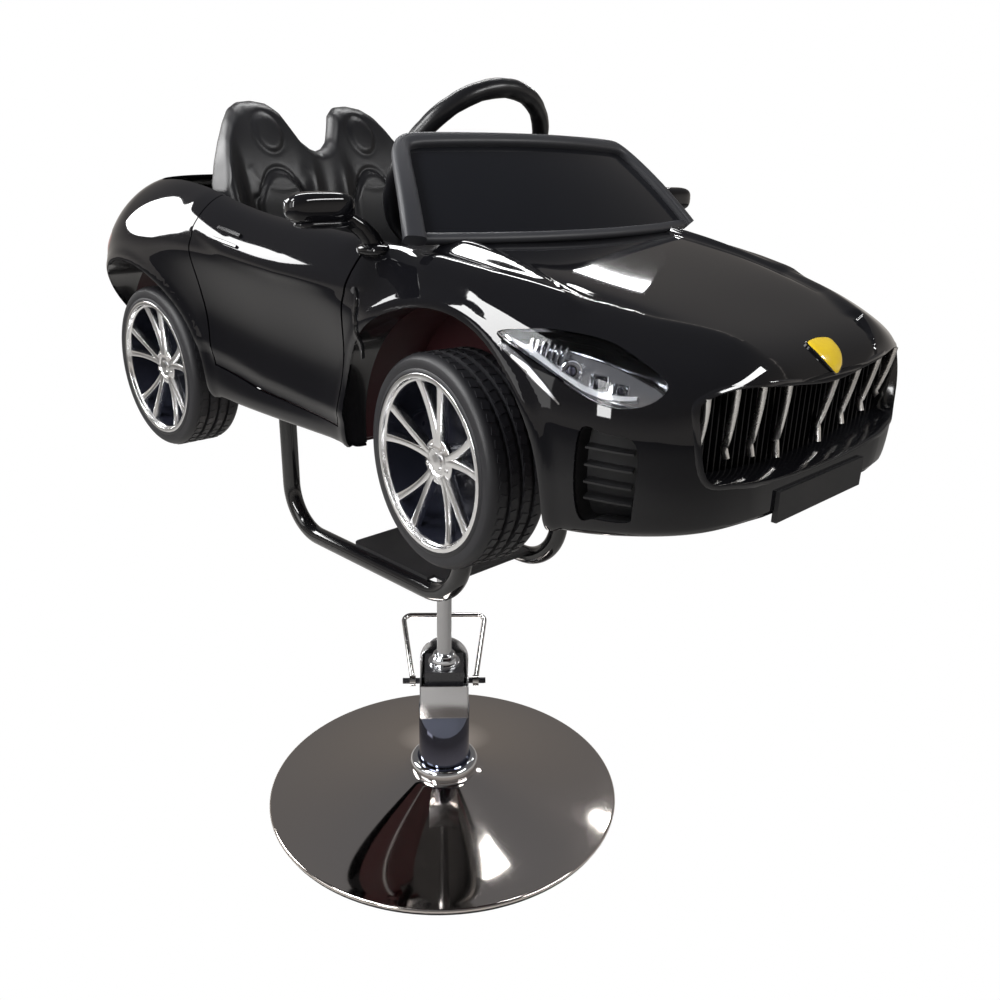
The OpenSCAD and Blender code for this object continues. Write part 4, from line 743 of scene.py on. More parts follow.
cockpit_half, cockpit_front, cockpit_back, cockpit_r, cockpit_low = 0.238, -0.225, 0.372, 0.040, 0.858
door_near, door_gap, door_wall = cockpit_half - 0.03, 0.0035, 0.009


def cockpit_cutter():
    """A tall block with round corners over the cockpit's opening."""
    corners = ((1, cockpit_back, 0), (-1, cockpit_back, 90), (-1, cockpit_front, 180),
               (1, cockpit_front, 270))
    line = []
    for side, end, start in corners:
        inward = -1 if end > 0 else 1
        middle = (side * (cockpit_half - cockpit_r), end + inward * cockpit_r)
        line += arc(*middle, cockpit_r, start, start + 90, 8)
    return moved(slab(line, 0.4), Matrix.Translation((0, 0, cockpit_low)))


def shell_cutters():
    """What is cut from the shells: lamps, intakes, tail lamps, grille, doors, arches and cockpit."""
    wheels = [side_prism(arc(y, z, r, 0, 354, 59), -beside, beside) for y, z, r in arches]
    doors = both_sides(rounded(door_line, 1, door_gap), door_near)
    return (*both_sides(rounded(lamp_line)), *both_sides(rounded(intake_line)),
            *both_sides(rounded(tail_line)), front_prism(rounded(grille_line, 3), nose_front, grille_reach),
            *doors, *wheels, cockpit_cutter())


def rear_region():
    """The part of the body behind and below the front shell."""
    floor_z, sky_z = 0.6, 1.1
    return side_prism([door_line[7], door_line[1], door_line[2], (door_line[2][0], split_z),
                       (split_y, split_z), (split_y, floor_z), (tail_y, floor_z), (tail_y, sky_z)],
                      -beside, beside)


paint_black = finish("paint_black", (0.0035, 0.0035, 0.0045), (0.006, 0.006, 0.0075), 0.03, 0.05, coat=0.25,
                     specular=0.3, patch=3.0)
front_shell = carve(skin_wall(wall, capped=True), "DIFFERENCE", rear_region(), *shell_cutters())
place_piece("front_body_shell", front_shell, "car", paint_black, ["front_shell"], 38)
rear_shell = carve(skin_wall(wall, capped=True), "INTERSECT", rear_region())
rear_shell = carve(rear_shell, "DIFFERENCE", *shell_cutters())
place_piece("rear_body_shell", rear_shell, "car", paint_black, ["rear_shell"], 38)
for name, side in (("right", -1), ("left", 1)):
    door_prism = side_prism(rounded(door_line, 1), *sorted((side * door_near, side * flank_far)))
    panel = carve(skin_wall(door_wall, rows=300, span=(-0.22, 0.24)), "INTERSECT", door_prism)
    panel = carve(panel, "DIFFERENCE", cockpit_cutter())
    place_piece(f"door_{name}_panel", panel, f"door_{name[0]}", paint_black,
                [f"door_{name}"], 38)
maroon_tray = finish("maroon_tray", (0.022, 0.001, 0.003), (0.050, 0.002, 0.006), 0.45, 0.65, grain=0.00008)
refinish(maroon_tray, "chassis_tray", "arch_liners")
refinish(zinc_plate, "hinge_pins", "hinge_leaf_right", "hinge_leaf_left")

# Headlamps
# Clear moulded lenses over plated plastic bowls, clipped into the front shell. Each bowl holds a white light
# pipe, plated ribs, a ringed projector and two square units, with a dark pupil in each.
skin_points = folded(skin_rows(400, 300))


def half_width(y, z):
    """The half width of the folded surface at y, z on its flank."""
    i = int(np.clip(np.searchsorted(skin_points[:, 0, 1], y) - 1, 0, len(skin_points) - 2))
    share = (y - skin_points[i, 0, 1]) / (skin_points[i + 1, 0, 1] - skin_points[i, 0, 1])
    two = []
    for row in skin_points[i:i + 2]:
        shoulder = int(np.argmax(row[:, 2] > row[:, 2].max() - 0.004))
        two.append(np.interp(z, row[:shoulder, 2], row[:shoulder, 0]))
    return float(two[0] * (1 - share) + two[1] * share)


def on_side(y, z, lift=0.0, side=1):
    """The point of the left flank at y, z, moved outward by lift, or its mirror image on the right."""
    step = 0.004
    normal = Vector((1, -(half_width(y + step, z) - half_width(y - step, z)) / (2 * step),
                     -(half_width(y, z + step) - half_width(y, z - step)) / (2 * step))).normalized()
    point = Vector((half_width(y, z), y, z)) + normal * lift
    return Vector((side * point.x, point.y, point.z))


def skinned(bm, rings, closed=False):
    """Joins rings of vertices one after another, round to the first again or with a face over each end."""
    for a, b in zip(rings, rings[1:] + (rings[:1] if closed else [])):
        for k in range(len(a)):
            bm.faces.new((a[k], a[(k + 1) % len(a)], b[(k + 1) % len(a)], b[k]))
    if not closed:
        bm.faces.new(rings[0])
        bm.faces.new(reversed(rings[-1]))
    bmesh.ops.recalc_face_normals(bm, faces=bm.faces)
    return bm


def strip(points, widths, low, high, side=1, steps=1):
    """A raised strip along a line on the flank, tapering with its widths, from one lift to another."""
    line = np.array(points)
    if steps > 1:
        at = np.linspace(0, len(line) - 1, (len(line) - 1) * steps + 1)
        widths = np.interp(at, range(len(line)), widths)
        line = spline(line, at)
    run = np.gradient(line, axis=0)
    run /= np.linalg.norm(run, axis=1, keepdims=True)
    shoulder = high * .7 + low * .3
    section = ((-1, low), (-.9, shoulder), (-.6, high), (.6, high), (.9, shoulder), (1, low))
    bm = bmesh.new()
    rings = [[bm.verts.new(on_side(y - dz * w * across / 2, z + dy * w * across / 2, lift, side))
              for across, lift in section] for (y, z), (dy, dz), w in zip(line, run, widths)]
    return skinned(bm, rings)


def mirrored(bm):
    """A copy of a bmesh on the other side of the car, joined to the first."""
    other = bm.copy()
    bmesh.ops.scale(other, vec=(-1, 1, 1), verts=other.verts)
    bmesh.ops.reverse_faces(other, faces=other.faces)
    return join_into(bm, other)


def skin_patch(outline, grow, thickness, depth, span):
    """The part of the skin's wall on the left flank inside a side view outline grown by a distance."""
    return carve(skin_wall(thickness, depth, span=span), "INTERSECT",
                 side_prism(rounded(outline, 6, grow), flank_near, flank_far))


def lining(outline, inner, outer, thickness, depth, span):
    """A band of the skin's wall between two growths of a side view outline."""
    overrun = 0.02
    return carve(skin_patch(outline, outer, thickness, depth, span), "DIFFERENCE",
                 side_prism(rounded(outline, 6, inner), flank_near - overrun, flank_far + overrun))


lamp_span, bowl_t, bowl_depth, lamp_foot, lamp_face = (-0.59, -0.33), 0.0015, 0.017, -0.015, -0.004
lens_clear = finish("lens_clear", (1, 1, 1), (0.97, 0.98, 1), 0.0, 0.015, transmission=1.0, ior=1.2)
lamp_chrome = finish("lamp_chrome", (0.86, 0.87, 0.90), (0.70, 0.71, 0.74), 0.05, 0.16, metallic=1.0,
                     patch=60.0)
pipe_white = finish("pipe_white", (0.80, 0.82, 0.86), (0.70, 0.72, 0.77), 0.12, 0.2, coat=0.5)
lamp_dark = finish("lamp_dark", (0.01, 0.011, 0.02), (0.03, 0.03, 0.05), 0.08, 0.2, coat=0.5)
lens = mirrored(skin_patch(lamp_line, -0.0006, 0.002, 0.0004, lamp_span))
place_piece("headlamp_lenses", lens, "car", lens_clear, ["headlight_lenses"], 40)
brow_line = side_outline([[.196, .582], [.169, .605], [.144, .610], [.096, .584], [.062, .530], [.085, .545],
                          [.120, .572], [.165, .580]])
bowl = join_into(skin_patch(lamp_line, 0.003, bowl_t, bowl_depth, lamp_span),
                 lining(lamp_line, 0.0012, 0.0032, 0.015, 0.003, lamp_span),
                 skin_patch(brow_line, 0.0, bowl_t, 0.0075, lamp_span))
place_piece("headlamp_bowls", mirrored(bowl), "car", lamp_chrome, ["headlight_bowls"], 35)
lamp_room = skin_patch(lamp_line, -0.0015, 0.016, 0.003, lamp_span)
pipe_path = [(-.388, .8835), (-.415, .8760), (-.440, .8645), (-.465, .8530), (-.490, .8450), (-.512, .8425),
             (-.528, .8450)]
pipe_widths = [.004, .006, .007, .0075, .0075, .007, .005]
pipe = carve(strip(pipe_path, pipe_widths, lamp_foot, lamp_face, 1, 5), "INTERSECT", lamp_room.copy())
place_piece("light_pipes", mirrored(pipe), "car", pipe_white)


def lamp_seat(y, z):
    """Where a lamp unit stands in the bowl, and the way that it faces: outward and towards the nose."""
    base, face = on_side(y, z, lamp_foot), on_side(y, z, lamp_face)
    return base, ((face - base).normalized() + Vector((0, -0.9, -0.1))).normalized()


def bulge(r, foot, tall, tip_r=0.0001):
    """The profile of a low dome, closed at its tip."""
    line = [(r * cos(radians(a)), foot + tall * sin(radians(a))) for a in range(0, 90, 15)]
    return line + [(tip_r, foot + tall)]


def projector(y, z, r, steps):
    """A lamp unit with a raised ring round its domed face, square when it has four steps."""
    base, axis = lamp_seat(y, z)
    housing = [(0.0001, -0.004), (r, -0.004), (r, 0.006), (r * 0.92, 0.0075), (r * 0.80, 0.0065),
               (r * 0.74, 0.003), (r * 0.66, 0.002)]
    return spun(housing + bulge(r * 0.62, 0.002, r * 0.42), steps, axis, base)


def pupil(y, z, r):
    """A small dark dome on a lamp unit's face."""
    base, axis = lamp_seat(y, z)
    return spun([(0.0001, 0.002)] + bulge(r, 0.003, r * 0.75), 32, axis, base + axis * 0.0012)


fins, fin_step = 7, .0062
units, pupils = bmesh.new(), bmesh.new()
for k in range(fins):
    y = -.412 - fin_step * k
    fin = strip([(y, .8865 - .0006 * k), (y - .002, .8760 - .0016 * k)], [.0028, .0022], -0.016, -0.0075)
    join_into(units, fin)
for y, z, r, pupil_r, steps in ((-.458, .8640, .0105, .0056, 48), (-.488, .8570, .0100, .0058, 4),
                                (-.510, .8520, .0085, .0040, 4)):
    join_into(units, projector(y, z, r, steps))
    join_into(pupils, pupil(y, z, pupil_r))
units = carve(units, "INTERSECT", lamp_room)
place_piece("lamp_units", mirrored(units), "car", lamp_chrome, (), 35)
place_piece("lamp_pupils", mirrored(pupils), "car", lamp_dark)
marker = strip([(-.386, .8765), (-.404, .868), (-.424, .857), (-.444, .8445), (-.463, .831)],
               [.0035, .0068, .0082, .0062, .0018], -0.001, 0.0016, 1, 4)
tick = strip([(-.389, .8835), (-.396, .8795)], [.0022, .0016], -0.001, 0.0012)
place_piece("side_markers", mirrored(join_into(marker, tick)), "car", lamp_chrome)

# Grille
# A gloss black surround dished into the nose, with a ribbed back and eight kinked bars in bright plated
# plastic standing free in front of it. The bare plate below is moulded in matt black.
black_gloss = finish("black_gloss", (0.004, 0.004, 0.005), (0.008, 0.008, 0.010), 0.08, 0.16, coat=0.3)
trim_black = finish("trim_black", (0.006, 0.006, 0.007), (0.012, 0.012, 0.014), 0.1, 0.22, coat=0.4)
bar_chrome = finish("bar_chrome", (0.98, 0.97, 0.95), (0.90, 0.88, 0.85), 0.20, 0.34, metallic=1.0,
                    patch=40.0)
front_rows = skin_points[skin_points[:, 0, 1] < -0.40]
flank_columns = 230


def front_y(x, z):
    """How far forward the nose reaches at x, z."""
    halves = [float(np.interp(z, row[:flank_columns, 2], row[:flank_columns, 0])) for row in front_rows]
    return float(np.interp(abs(x), halves, front_rows[:, 0, 1]))


def swept(path, profile, normals):
    """A profile of across, outward pairs carried along a path, outward following the given directions."""
    bm = bmesh.new()
    count = len(path)
    rings = []
    for i, (point, normal) in enumerate(zip(path, normals)):
        before, after = path[max(i - 1, 0)], path[min(i + 1, count - 1)]
        run = (Vector(after) - Vector(before)).normalized()
        out = (Vector(normal) - run * run.dot(Vector(normal))).normalized()
        across = run.cross(out)
        shape = profile(i / (count - 1)) if callable(profile) else profile
        rings.append([bm.verts.new(Vector(point) + across * a + out * b) for a, b in shape])
    return skinned(bm, rings)


def oval(wide, deep, power, steps):
    """A rounded rectangular loop of half sizes wide and deep."""
    turns = [2 * pi * k / steps for k in range(steps)]
    return [(wide * abs(cos(turn)) ** power * (1 if cos(turn) > 0 else -1),
             deep * abs(sin(turn)) ** power * (1 if sin(turn) > 0 else -1)) for turn in turns]


def nose_ring(growths, depths):
    """A closed band round the grille's outline, from loops grown by and set back by the given amounts."""
    bm = bmesh.new()
    loops = [[bm.verts.new((x, front_y(x, z) + depth, z)) for x, z in rounded(grille_line, 6, grow)]
             for grow, depth in zip(growths, depths)]
    return skinned(bm, loops, True)


surround = nose_ring((0.0035, 0.0025, 0.0010, -0.0025, -0.0035, -0.0040, 0.0020),
                     (0.0010, -0.0012, -0.0018, -0.0014, 0.0010, 0.0450, 0.0450))
place_piece("grille_surround", surround, "car", black_gloss, ["grille_insert"], 38)
pan_half, pan_half_h, pan_z, pan_t, pan_behind, grille_floor = 0.215, 0.062, 0.800, 0.002, 0.024, -0.552
rib_step, rib_half, rib_deep, rib_proud, rib_ends = 0.0112, 0.0012, 0.0035, 0.0015, (.742, .856)


def pan_y(x, z):
    """Where the grille's back stands: a little behind the nose, and nowhere in front of its floor."""
    return max(front_y(x, z) + pan_behind, grille_floor)


pan = bmesh.new()
bmesh.ops.create_grid(pan, x_segments=48, y_segments=10, size=1.0)
for v in pan.verts:
    x, z = v.co.x * pan_half, pan_z + v.co.y * pan_half_h
    v.co = (x, pan_y(x, z), z)
bmesh.ops.solidify(pan, geom=pan.faces[:], thickness=pan_t)
bmesh.ops.recalc_face_normals(pan, faces=pan.faces)
ribs = bmesh.new()
for k in range(-18, 19):
    x = k * rib_step
    line = [(x, pan_y(x, z) - rib_proud, z) for z in (rib_ends[0], .760, .780, .800, .820, .840, rib_ends[1])]
    join_into(ribs, swept(line, oval(rib_half, rib_deep, 0.6, 8), [(0, -1, 0)] * len(line)))
grille_back = bmesh.new()
for layer in (pan, ribs):
    opening = front_prism(rounded(grille_line, 3, 0.001), nose_front, -0.40)
    join_into(grille_back, carve(layer, "INTERSECT", opening))
place_piece("grille_back", grille_back, "car", trim_black, (), 38)

bars = bmesh.new()
bar_half, bar_taper, bar_deep, bar_steps = 0.0034, 0.0012, 0.0040, 8
for x, low_x, top, kink, foot in ((.1945, .1870, .846, .797, .788), (.1505, .1425, .852, .791, .777),
                                  (.1025, .0955, .849, .786, .770), (.0525, .0445, .845, .781, .759)):
    near = max(-0.575, front_y(x, pan_z) + 0.010)
    path = [(x + (low_x - x) * share, near + 0.010 * share ** 1.5, top - (top - kink) * share)
            for share in (k / bar_steps for k in range(bar_steps + 1))]
    path += [(low_x, near + 0.0115, kink - 0.003), (low_x, near + 0.0105, kink - 0.007),
             (low_x, near + 0.0080, foot)]
    join_into(bars, swept(path, lambda share: oval(bar_half - bar_taper * share, bar_deep, 0.8, 12),
                          [(0, -1, 0)] * len(path)))
place_piece("grille_bars_bright", mirrored(bars), "car", bar_chrome, ["grille_bars"], 40)
soft_black = finish("soft_black", (0.005, 0.005, 0.006), (0.009, 0.009, 0.010), 0.42, 0.6, grain=0.00006)
refinish(soft_black, "number_plate")

# Badge
# A plain domed shield in yellow enamel with a thin raised black rim, glued to the slope of the nose.
enamel_yellow = finish("enamel_yellow", (0.90, 0.66, 0.02), (0.80, 0.52, 0.01), 0.12, 0.25, coat=0.6,
                       patch=90.0)
shield = [(0, .0205), (.012, .0195), (.0225, .0165), (.0232, .008), (.0208, -.002), (.0145, -.012),
          (.0055, -.0195), (0, -.0215)]
shield += [(-x, y) for x, y in reversed(shield[1:-1])]
badge_z, chin = 0.8640, 0.04
middle = skin_points[:120, -1, 1:]
nose_line = np.concatenate([[middle[0] - np.array([0, chin])], middle])
nose_run = np.concatenate([[0], np.cumsum(np.linalg.norm(np.diff(nose_line, axis=0), axis=1))])
badge_at = float(np.interp(badge_z, nose_line[:, 1], nose_run))


def on_nose(across, along, lift):
    """The point of the nose's middle line at a run from the badge's middle, lifted off the paint."""
    here, there = (np.array([np.interp(badge_at + along + step, nose_run, nose_line[:, k]) for k in (0, 1)])
                   for step in (-0.004, 0.004))
    run = (there - here) / np.linalg.norm(there - here)
    y, z = (here + there) / 2 + np.array([-run[1], run[0]]) * lift
    return Vector((across, y, z))


def plaque(outline, loops):
    """A closed shape on the nose from copies of an outline, each scaled and lifted."""
    bm = bmesh.new()
    rings = [[bm.verts.new(on_nose(x * scale, y * scale, lift)) for x, y in rounded(outline, 3)]
             for scale, lift in loops]
    return skinned(bm, rings)


badge = plaque(shield, ((1.0, -0.002), (1.0, 0.0024), (0.96, 0.0030), (0.85, 0.0033), (0.6, 0.0038),
                        (0.3, 0.0041), (0.05, 0.0042)))
badge_rim = plaque(shield, ((1.10, -0.002), (1.10, 0.0018), (1.07, 0.0026), (1.02, 0.0026), (1.0, 0.0010),
                            (0.5, 0.0002)))
place_piece("nose_shield", badge, "car", enamel_yellow, ["nose_badge"], 40)
place_piece("badge_rim", badge_rim, "car", black_gloss)

# Side intakes
# Matt black plastic pans sunk behind the front bumper's corners and clipped in, each with four slim fins
# across.
intake_span, pan_depth, fin_w = (-0.58, -0.44), 0.020, .0035
intake = join_into(skin_patch(intake_line, 0.003, 0.0015, pan_depth, intake_span),
                   lining(intake_line, 0.0008, 0.0028, 0.018, 0.003, intake_span))
for z in (.742, .759, .776, .793):
    fin_path = [(-.534, z - .001), (-.515, z), (-.490, z + .001)]
    join_into(intake, strip(fin_path, [fin_w] * 3, -0.019, -0.006, 1, 3))
place_piece("intake_pans", mirrored(intake), "car", soft_black, ["side_intakes"], 35)

# Flank trim
# Two slim black blades for each door's handle, three short vents above the rear of each front wheel, and
# thin black bands that edge the wheel arches. All are moulded plastic, fixed to the shell and the doors.
for name, side in (("right", -1), ("left", 1)):
    upper = strip([(.070, .9410), (.096, .9445), (.120, .9480)], [.0045, .0055, .0045], -0.001, 0.0030,
                  side, 4)
    lower = strip([(.066, .9290), (.094, .9325), (.120, .9360)], [.0035, .0045, .0035], -0.001, 0.0026,
                  side, 4)
    place_piece(f"door_handle_{name}", join_into(upper, lower), f"door_{name[0]}", trim_black)
vents, vent_step = bmesh.new(), .022
for k in range(3):
    drop = vent_step * k
    vent_path = [(-.168 - .003 * k, .905 - drop), (-.176, .890 - drop), (-.172, .872 - drop)]
    join_into(vents, strip(vent_path, [.003, .006, .002], -0.001, 0.003, 1, 3))
place_piece("flank_vents", mirrored(vents), "car", trim_black)
bands = bmesh.new()
band_low, band_inner, band_gap, band_t, band_sink, band_steps = 0.708, 0.236, 0.0015, 0.002, 0.002, 80
for back, high_z, r in arches:
    near_r, far_r = r + band_gap, r + band_gap + band_t
    for side in (-1, 1):
        rings = []
        for k in range(band_steps + 1):
            turn = radians(-8 + 196 * k / band_steps)
            y, z = back + near_r * cos(turn), high_z + near_r * sin(turn)
            if z < band_low:
                continue
            edge, inner = on_side(y, z, -band_sink, side).x, side * band_inner
            rings.append([bands.verts.new((x, back + q * cos(turn), high_z + q * sin(turn)))
                          for x, q in ((edge, near_r), (inner, near_r), (inner, far_r), (edge, far_r))])
        skinned(bands, rings)
place_piece("arch_bands", bands, "car", trim_black, (), 40)

# Tail lamps
# Red moulded lenses pressed into the haunches, each made from the body's own surface and closing its cut.
lens_red = finish("lens_red", (0.35, 0.004, 0.004), (0.22, 0.002, 0.002), 0.03, 0.08, coat=0.5,
                  transmission=0.4)
tail_lens = mirrored(skin_patch(tail_line, -0.0006, 0.006, 0.0004, (0.38, 0.52)))
place_piece("tail_lenses", tail_lens, "car", lens_red, ["tail_lamps"], 40)

# Windscreen
# A dark curved plastic pane in a broad matt frame with round corners and a bead along its foot, screwed to
# the body. Behind it a moulded dashboard in matt black carries a low hood over the dials.
frame_charcoal = finish("frame_charcoal", (0.024, 0.025, 0.029), (0.034, 0.035, 0.041), 0.42, 0.55,
                        specular=0.4, grain=0.00005)
glass_smoke = finish("glass_smoke", (0.006, 0.006, 0.008), (0.010, 0.011, 0.014), 0.03, 0.07, specular=0.3,
                     patch=2.0)
pane_out, pane_bow, pane_t = (-0.72, 0.69), 0.003, 0.003


def pane_point(s, t, lift=0.0):
    """A point of the pane, s across and t up, raised off its face."""
    base = Vector((0.231 * s, -0.258 + 0.029 * s * s, 0.962 + 0.002 * s * s))
    head = Vector((0.190 * s, -0.165 + 0.023 * s * s, 1.055 - 0.004 * s * s))
    out = Vector((0.25 * s, *pane_out)).normalized()
    return base.lerp(head, t) + out * (lift + 4 * t * (1 - t) * pane_bow)


pane = bmesh.new()
bmesh.ops.create_grid(pane, x_segments=48, y_segments=14, size=1.0)
for v in pane.verts:
    v.co = pane_point(v.co.x, (v.co.y + 1) / 2)
bmesh.ops.solidify(pane, geom=pane.faces[:], thickness=pane_t)
bmesh.ops.recalc_face_normals(pane, faces=pane.faces)
place_piece("windscreen_pane", pane, "car", glass_smoke, ["windscreen_glass"], 40)
post = [(-1.062, -0.08), (-1.058, 0.10), (-1.052, 0.35), (-1.045, 0.62), (-1.036, 0.84), (-1.018, 0.95),
        (-0.985, 1.005), (-0.930, 1.025)]
header = [(-0.85 + 1.7 * k / 16, 1.028) for k in range(17)]
surround_path = np.array(post + header + [(-s, t) for s, t in reversed(post)])
smooth_path = spline(surround_path, np.linspace(0, len(surround_path) - 1, 96))
header_half, post_flare, frame_deep, foot_half, foot_deep = 0.0080, 0.0045, 0.0080, 0.0060, 0.0055
foot_spans = 32


def frame_section(share):
    """The surround's section, broader towards the feet of its posts."""
    return oval(header_half + post_flare * abs(2 * share - 1) ** 2.5, frame_deep, 0.6, 20)


screen_frame = swept([pane_point(s, t, 0.002) for s, t in smooth_path], frame_section,
                     [(0.25 * s, *pane_out) for s, t in smooth_path])
foot_line = [pane_point(-1.02 + 2.04 * k / foot_spans, -0.045, -0.001) for k in range(foot_spans + 1)]
foot_bead = swept(foot_line, oval(foot_half, foot_deep, 0.7, 14), [(0, *pane_out)] * len(foot_line))
place_piece("windscreen_surround", join_into(screen_frame, foot_bead), "car", frame_charcoal,
            ["windscreen_frame"], 45)


def pebble(size, centre, power=0.8, rings=18):
    """A rounded box from a sphere pressed towards a box."""
    bm = bmesh.new()
    bmesh.ops.create_uvsphere(bm, u_segments=2 * rings, v_segments=rings, radius=1.0)
    for v in bm.verts:
        v.co = [w * abs(c) ** power * (1 if c > 0 else -1) for c, w in zip(v.co, size)]
    return moved(bm, Matrix.Translation(centre))


dash_black = finish("dash_black", (0.007, 0.007, 0.008), (0.011, 0.011, 0.013), 0.36, 0.5, specular=0.4,
                    grain=0.00008, grain_scale=900.0)
hood = pebble((0.062, 0.048, 0.020), (0.062, -0.098, 1.046), 0.75)
join_into(hood, block((0.30, 0.06, 0.03), (0, -0.118, 1.022), width=0.012, segments=4))
place_piece("dial_hood", hood, "car", dash_black)
refinish(dash_black, "dashboard")

# Mirrors
# Gloss black moulded pebble shells on short stalks that are screwed to the shell in front of the doors, each
# with a lower lip and a plated glass facing back.
mirror_glass = finish("mirror_glass", (0.55, 0.57, 0.60), (0.50, 0.52, 0.55), 0.02, 0.04, metallic=1.0)
stalk = [(0.249, -0.168, 0.944), (0.254, -0.164, 0.956), (0.263, -0.160, 0.966), (0.276, -0.157, 0.974),
         (0.292, -0.156, 0.979)]
stalk_half, stalk_taper, stalk_deep = 0.0115, 0.003, 0.0065
shells = join_into(pebble((0.0405, 0.0150, 0.0165), (0.311, -0.154, 0.9875), 0.62),
                   pebble((0.0340, 0.0130, 0.0045), (0.309, -0.1545, 0.9715), 0.7),
                   swept(stalk, lambda share: oval(stalk_half - stalk_taper * share, stalk_deep, 0.8, 14),
                         [(0.6, -0.8, 0.3)] * len(stalk)),
                   pebble((0.017, 0.022, 0.008), (0.250, -0.166, 0.943), 0.8))
glasses = pebble((0.0365, 0.0012, 0.0130), (0.311, -0.1402, 0.9875), 0.6)
place_piece("mirror_shells", mirrored(shells), "car", paint_black, ["mirrors"], 45)
place_piece("mirror_glasses", mirrored(glasses), "car", mirror_glass, (), 45)

# Seat
# One hard moulding in satin black plastic, with twin humps, raised head ovals, arched back panels in grooves
# and thick side wings. It stands in the cockpit behind the pan that is sat on.
seat_satin = finish("seat_satin", (0.005, 0.005, 0.006), (0.009, 0.009, 0.011), 0.32, 0.45, specular=0.35,
                    grain=0.00010, grain_scale=1100.0, patch=14.0)
crest = np.array([(0, 1.040), (.016, 1.045), (.032, 1.058), (.044, 1.080), (.053, 1.097), (.066, 1.1065),
                  (.087, 1.109), (.109, 1.106), (.126, 1.097), (.141, 1.080), (.157, 1.055), (.171, 1.028),
                  (.182, 1.000), (.187, .985)])
seat_half, seat_low, seat_cols, seat_rows = 0.187, 0.775, 120, 110
lean_z, lean_h, back_y, lean_straight, lean_curl = 0.768, 0.341, 0.250, 0.013, 0.062
pad_x, head_z, wing_x, wing_top, wing_soft = 0.086, 1.066, 0.158, 1.03, 0.07
seat_t, wing_more, edge_run, edge_round = 0.036, 0.026, 0.013, 0.016


def step_up(gap, soft):
    """A smooth rise from 0 to 1 as the gap goes from below to above zero."""
    t = np.clip(gap / soft * 0.5 + 0.5, 0, 1)
    return t * t * (3 - 2 * t)


def seat_face(x, z):
    """How far back the seat's front face lies at x, z."""
    rise = np.clip((z - lean_z) / lean_h, 0, 1)
    back = back_y + lean_straight * rise + lean_curl * rise ** 4
    a = np.abs(x)
    c = a - pad_x
    wing = wing_more * step_up(a - wing_x, 0.020) * step_up(wing_top - z, wing_soft)
    inner = 0.007 * np.exp(-((a - 0.028) / 0.014) ** 2) * step_up(wing_top - z, 0.03)
    head = np.hypot(c / 0.0215, (z - head_z) / 0.0245)
    head_pad = 0.0030 * step_up(1 - head, 0.25) - 0.0012 * np.exp(-((head - 1.17) / 0.13) ** 2)
    arch_top = 1.010 - np.clip(np.abs(c) / 0.040, 0, 1) ** 2.4 * 0.042
    panel_gap = np.minimum(0.040 - np.abs(c), arch_top - z)
    panel = 0.0050 * step_up(panel_gap, 0.007) - 0.0026 * np.exp(-((panel_gap + 0.0065) / 0.0040) ** 2)
    yoke_gap = np.hypot(c / 0.046, (z - 1.018) / 0.030) - 1
    yoke = 0.0008 * np.exp(-(yoke_gap / 0.12) ** 2) * (z < 1.02)
    return back - wing - inner - head_pad - panel - yoke


seat = bmesh.new()
for facing_back in (False, True):
    sheet_mesh = bmesh.new()
    bmesh.ops.create_grid(sheet_mesh, x_segments=seat_cols, y_segments=seat_rows, size=1.0)
    for v in sheet_mesh.verts:
        s, t = v.co.x, (v.co.y + 1) / 2
        x = seat_half * np.sign(s) * (1 - (1 - abs(s)) ** 1.25)
        top = float(np.interp(abs(x), crest[:, 0], crest[:, 1]))
        z = seat_low + (top - seat_low) * (1 - (1 - t) ** 1.3)
        edge = min(top - z, seat_half - abs(x), edge_run) / edge_run
        round_in = edge_round * (1 - (1 - (1 - edge) ** 2) ** 0.5)
        y = float(seat_face(x, z)) + round_in
        if facing_back:
            thick = seat_t + wing_more * step_up(abs(x) - 0.155, 0.02) * step_up(wing_top - z, wing_soft)
            y += float(thick) - 2 * round_in
        v.co = (x, y, z)
    if facing_back:
        bmesh.ops.reverse_faces(sheet_mesh, faces=sheet_mesh.faces)
    join_into(seat, sheet_mesh)
bmesh.ops.bridge_loops(seat, edges=[e for e in seat.edges if e.is_boundary])
bmesh.ops.recalc_face_normals(seat, faces=seat.faces)
place_piece("seat_moulding", seat, "car", seat_satin, ["seat_back"], 50)
refinish(seat_satin, "seat_pan")

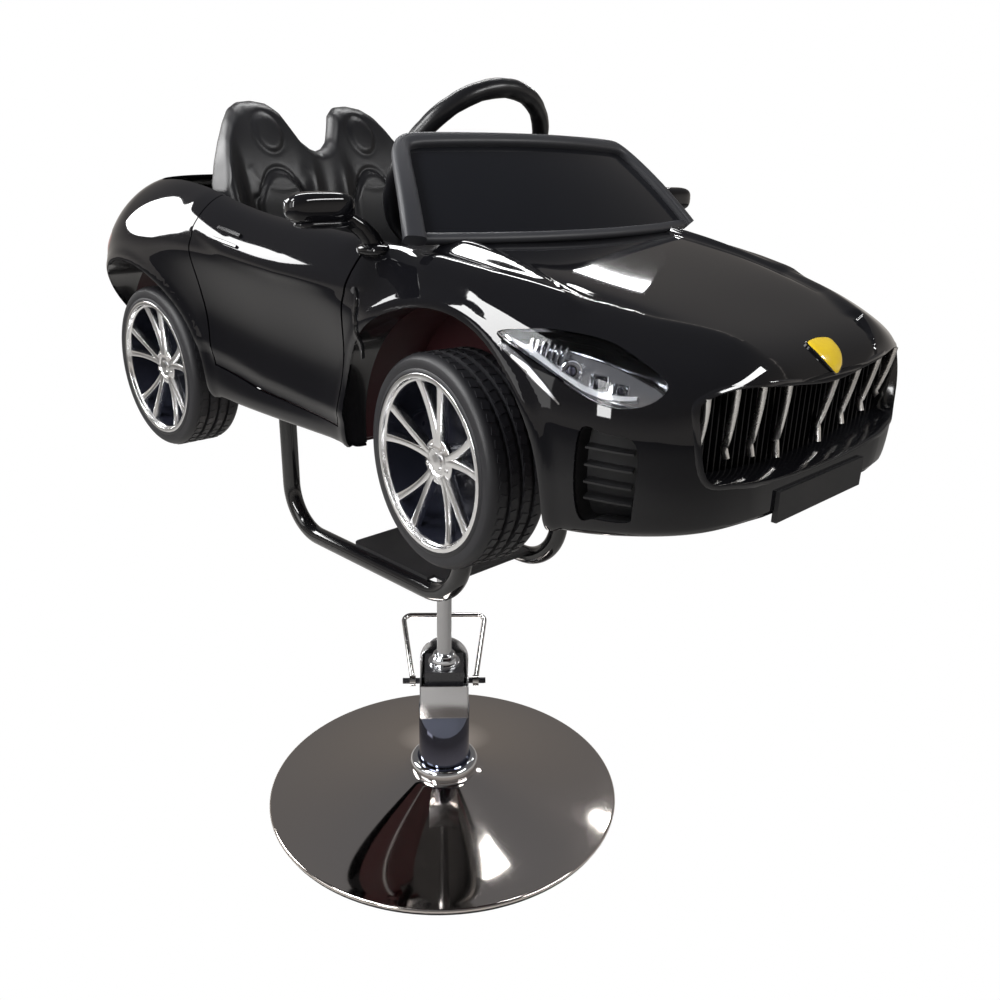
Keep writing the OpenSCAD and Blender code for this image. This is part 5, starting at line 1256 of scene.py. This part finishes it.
# Steering wheel
# A thick rim moulded in grained black plastic with grip swells, three spokes, a padded hub and two thumb
# buttons. It is pressed on its shaft, which runs down inside a matt black tube.
grip_black = finish("grip_black", (0.005, 0.005, 0.006), (0.009, 0.009, 0.011), 0.24, 0.38, specular=0.4,
                    grain=0.00010, grain_scale=1300.0)
wheel_place = Matrix.Translation((0.062, 0.020, 1.022)) @ Matrix.Rotation(radians(35 - 90), 4, "X")
wheel_r, grip_r, around, grip_sides = 0.1255, 0.0125, 120, 28
ring = bmesh.new()
loops = []
for k in range(around):
    turn = 2 * pi * k / around
    swell = 1.0 - 0.05 * exp(-(((turn % (pi / 9)) - pi / 18) / 0.05) ** 2)
    notch = min(abs((degrees - k * 3 + 180) % 360 - 180) for degrees in (0, 90, 180))
    grip = grip_r * swell * (1.0 - 0.10 * exp(-((notch - 13) / 2.0) ** 2))
    out, axle = Vector((cos(turn), sin(turn), 0)), Vector((0, 0, 1))
    loops.append([ring.verts.new(out * wheel_r + (out * cos(2 * pi * j / grip_sides)
                                                  + axle * sin(2 * pi * j / grip_sides)) * grip)
                  for j in range(grip_sides)])
skinned(ring, loops, True)


def arm_section(share):
    """A spoke's section, narrowest in the middle of its run."""
    return oval(0.0170 - 0.0065 * sin(pi * min(share * 1.1, 1)) + 0.002 * share, 0.0050, 0.6, 16)


for start in (0, 90, 180):
    turn = radians(start)
    arm = [(r * cos(turn), r * sin(turn), -0.012 + 0.012 * ((r - 0.02) / 0.1) ** 1.5) for r in
           (0.020, 0.035, 0.050, 0.065, 0.080, 0.095, 0.108, 0.120)]
    join_into(ring, swept(arm, arm_section, [(0, 0, 1)] * len(arm)))
hub = pebble((0.040, 0.038, 0.015), (0, 0.002, -0.006), 0.72)
boss = spun([(0.0001, -0.020), (0.030, -0.020), (0.034, -0.010), (0.0001, -0.004)], 48)
buttons = [pebble((0.008, 0.005, 0.003), (side * 0.056, 0.002, -0.002), 0.7, 10) for side in (-1, 1)]
moved(join_into(ring, hub, boss, *buttons), wheel_place)
bmesh.ops.recalc_face_normals(ring, faces=ring.faces)
place_piece("steering_rim", ring, "steering", grip_black, ["steering_wheel"], 45)
refinish(soft_black, "steering_tube")

# Size
# The dressed part's own corners.
low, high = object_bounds()
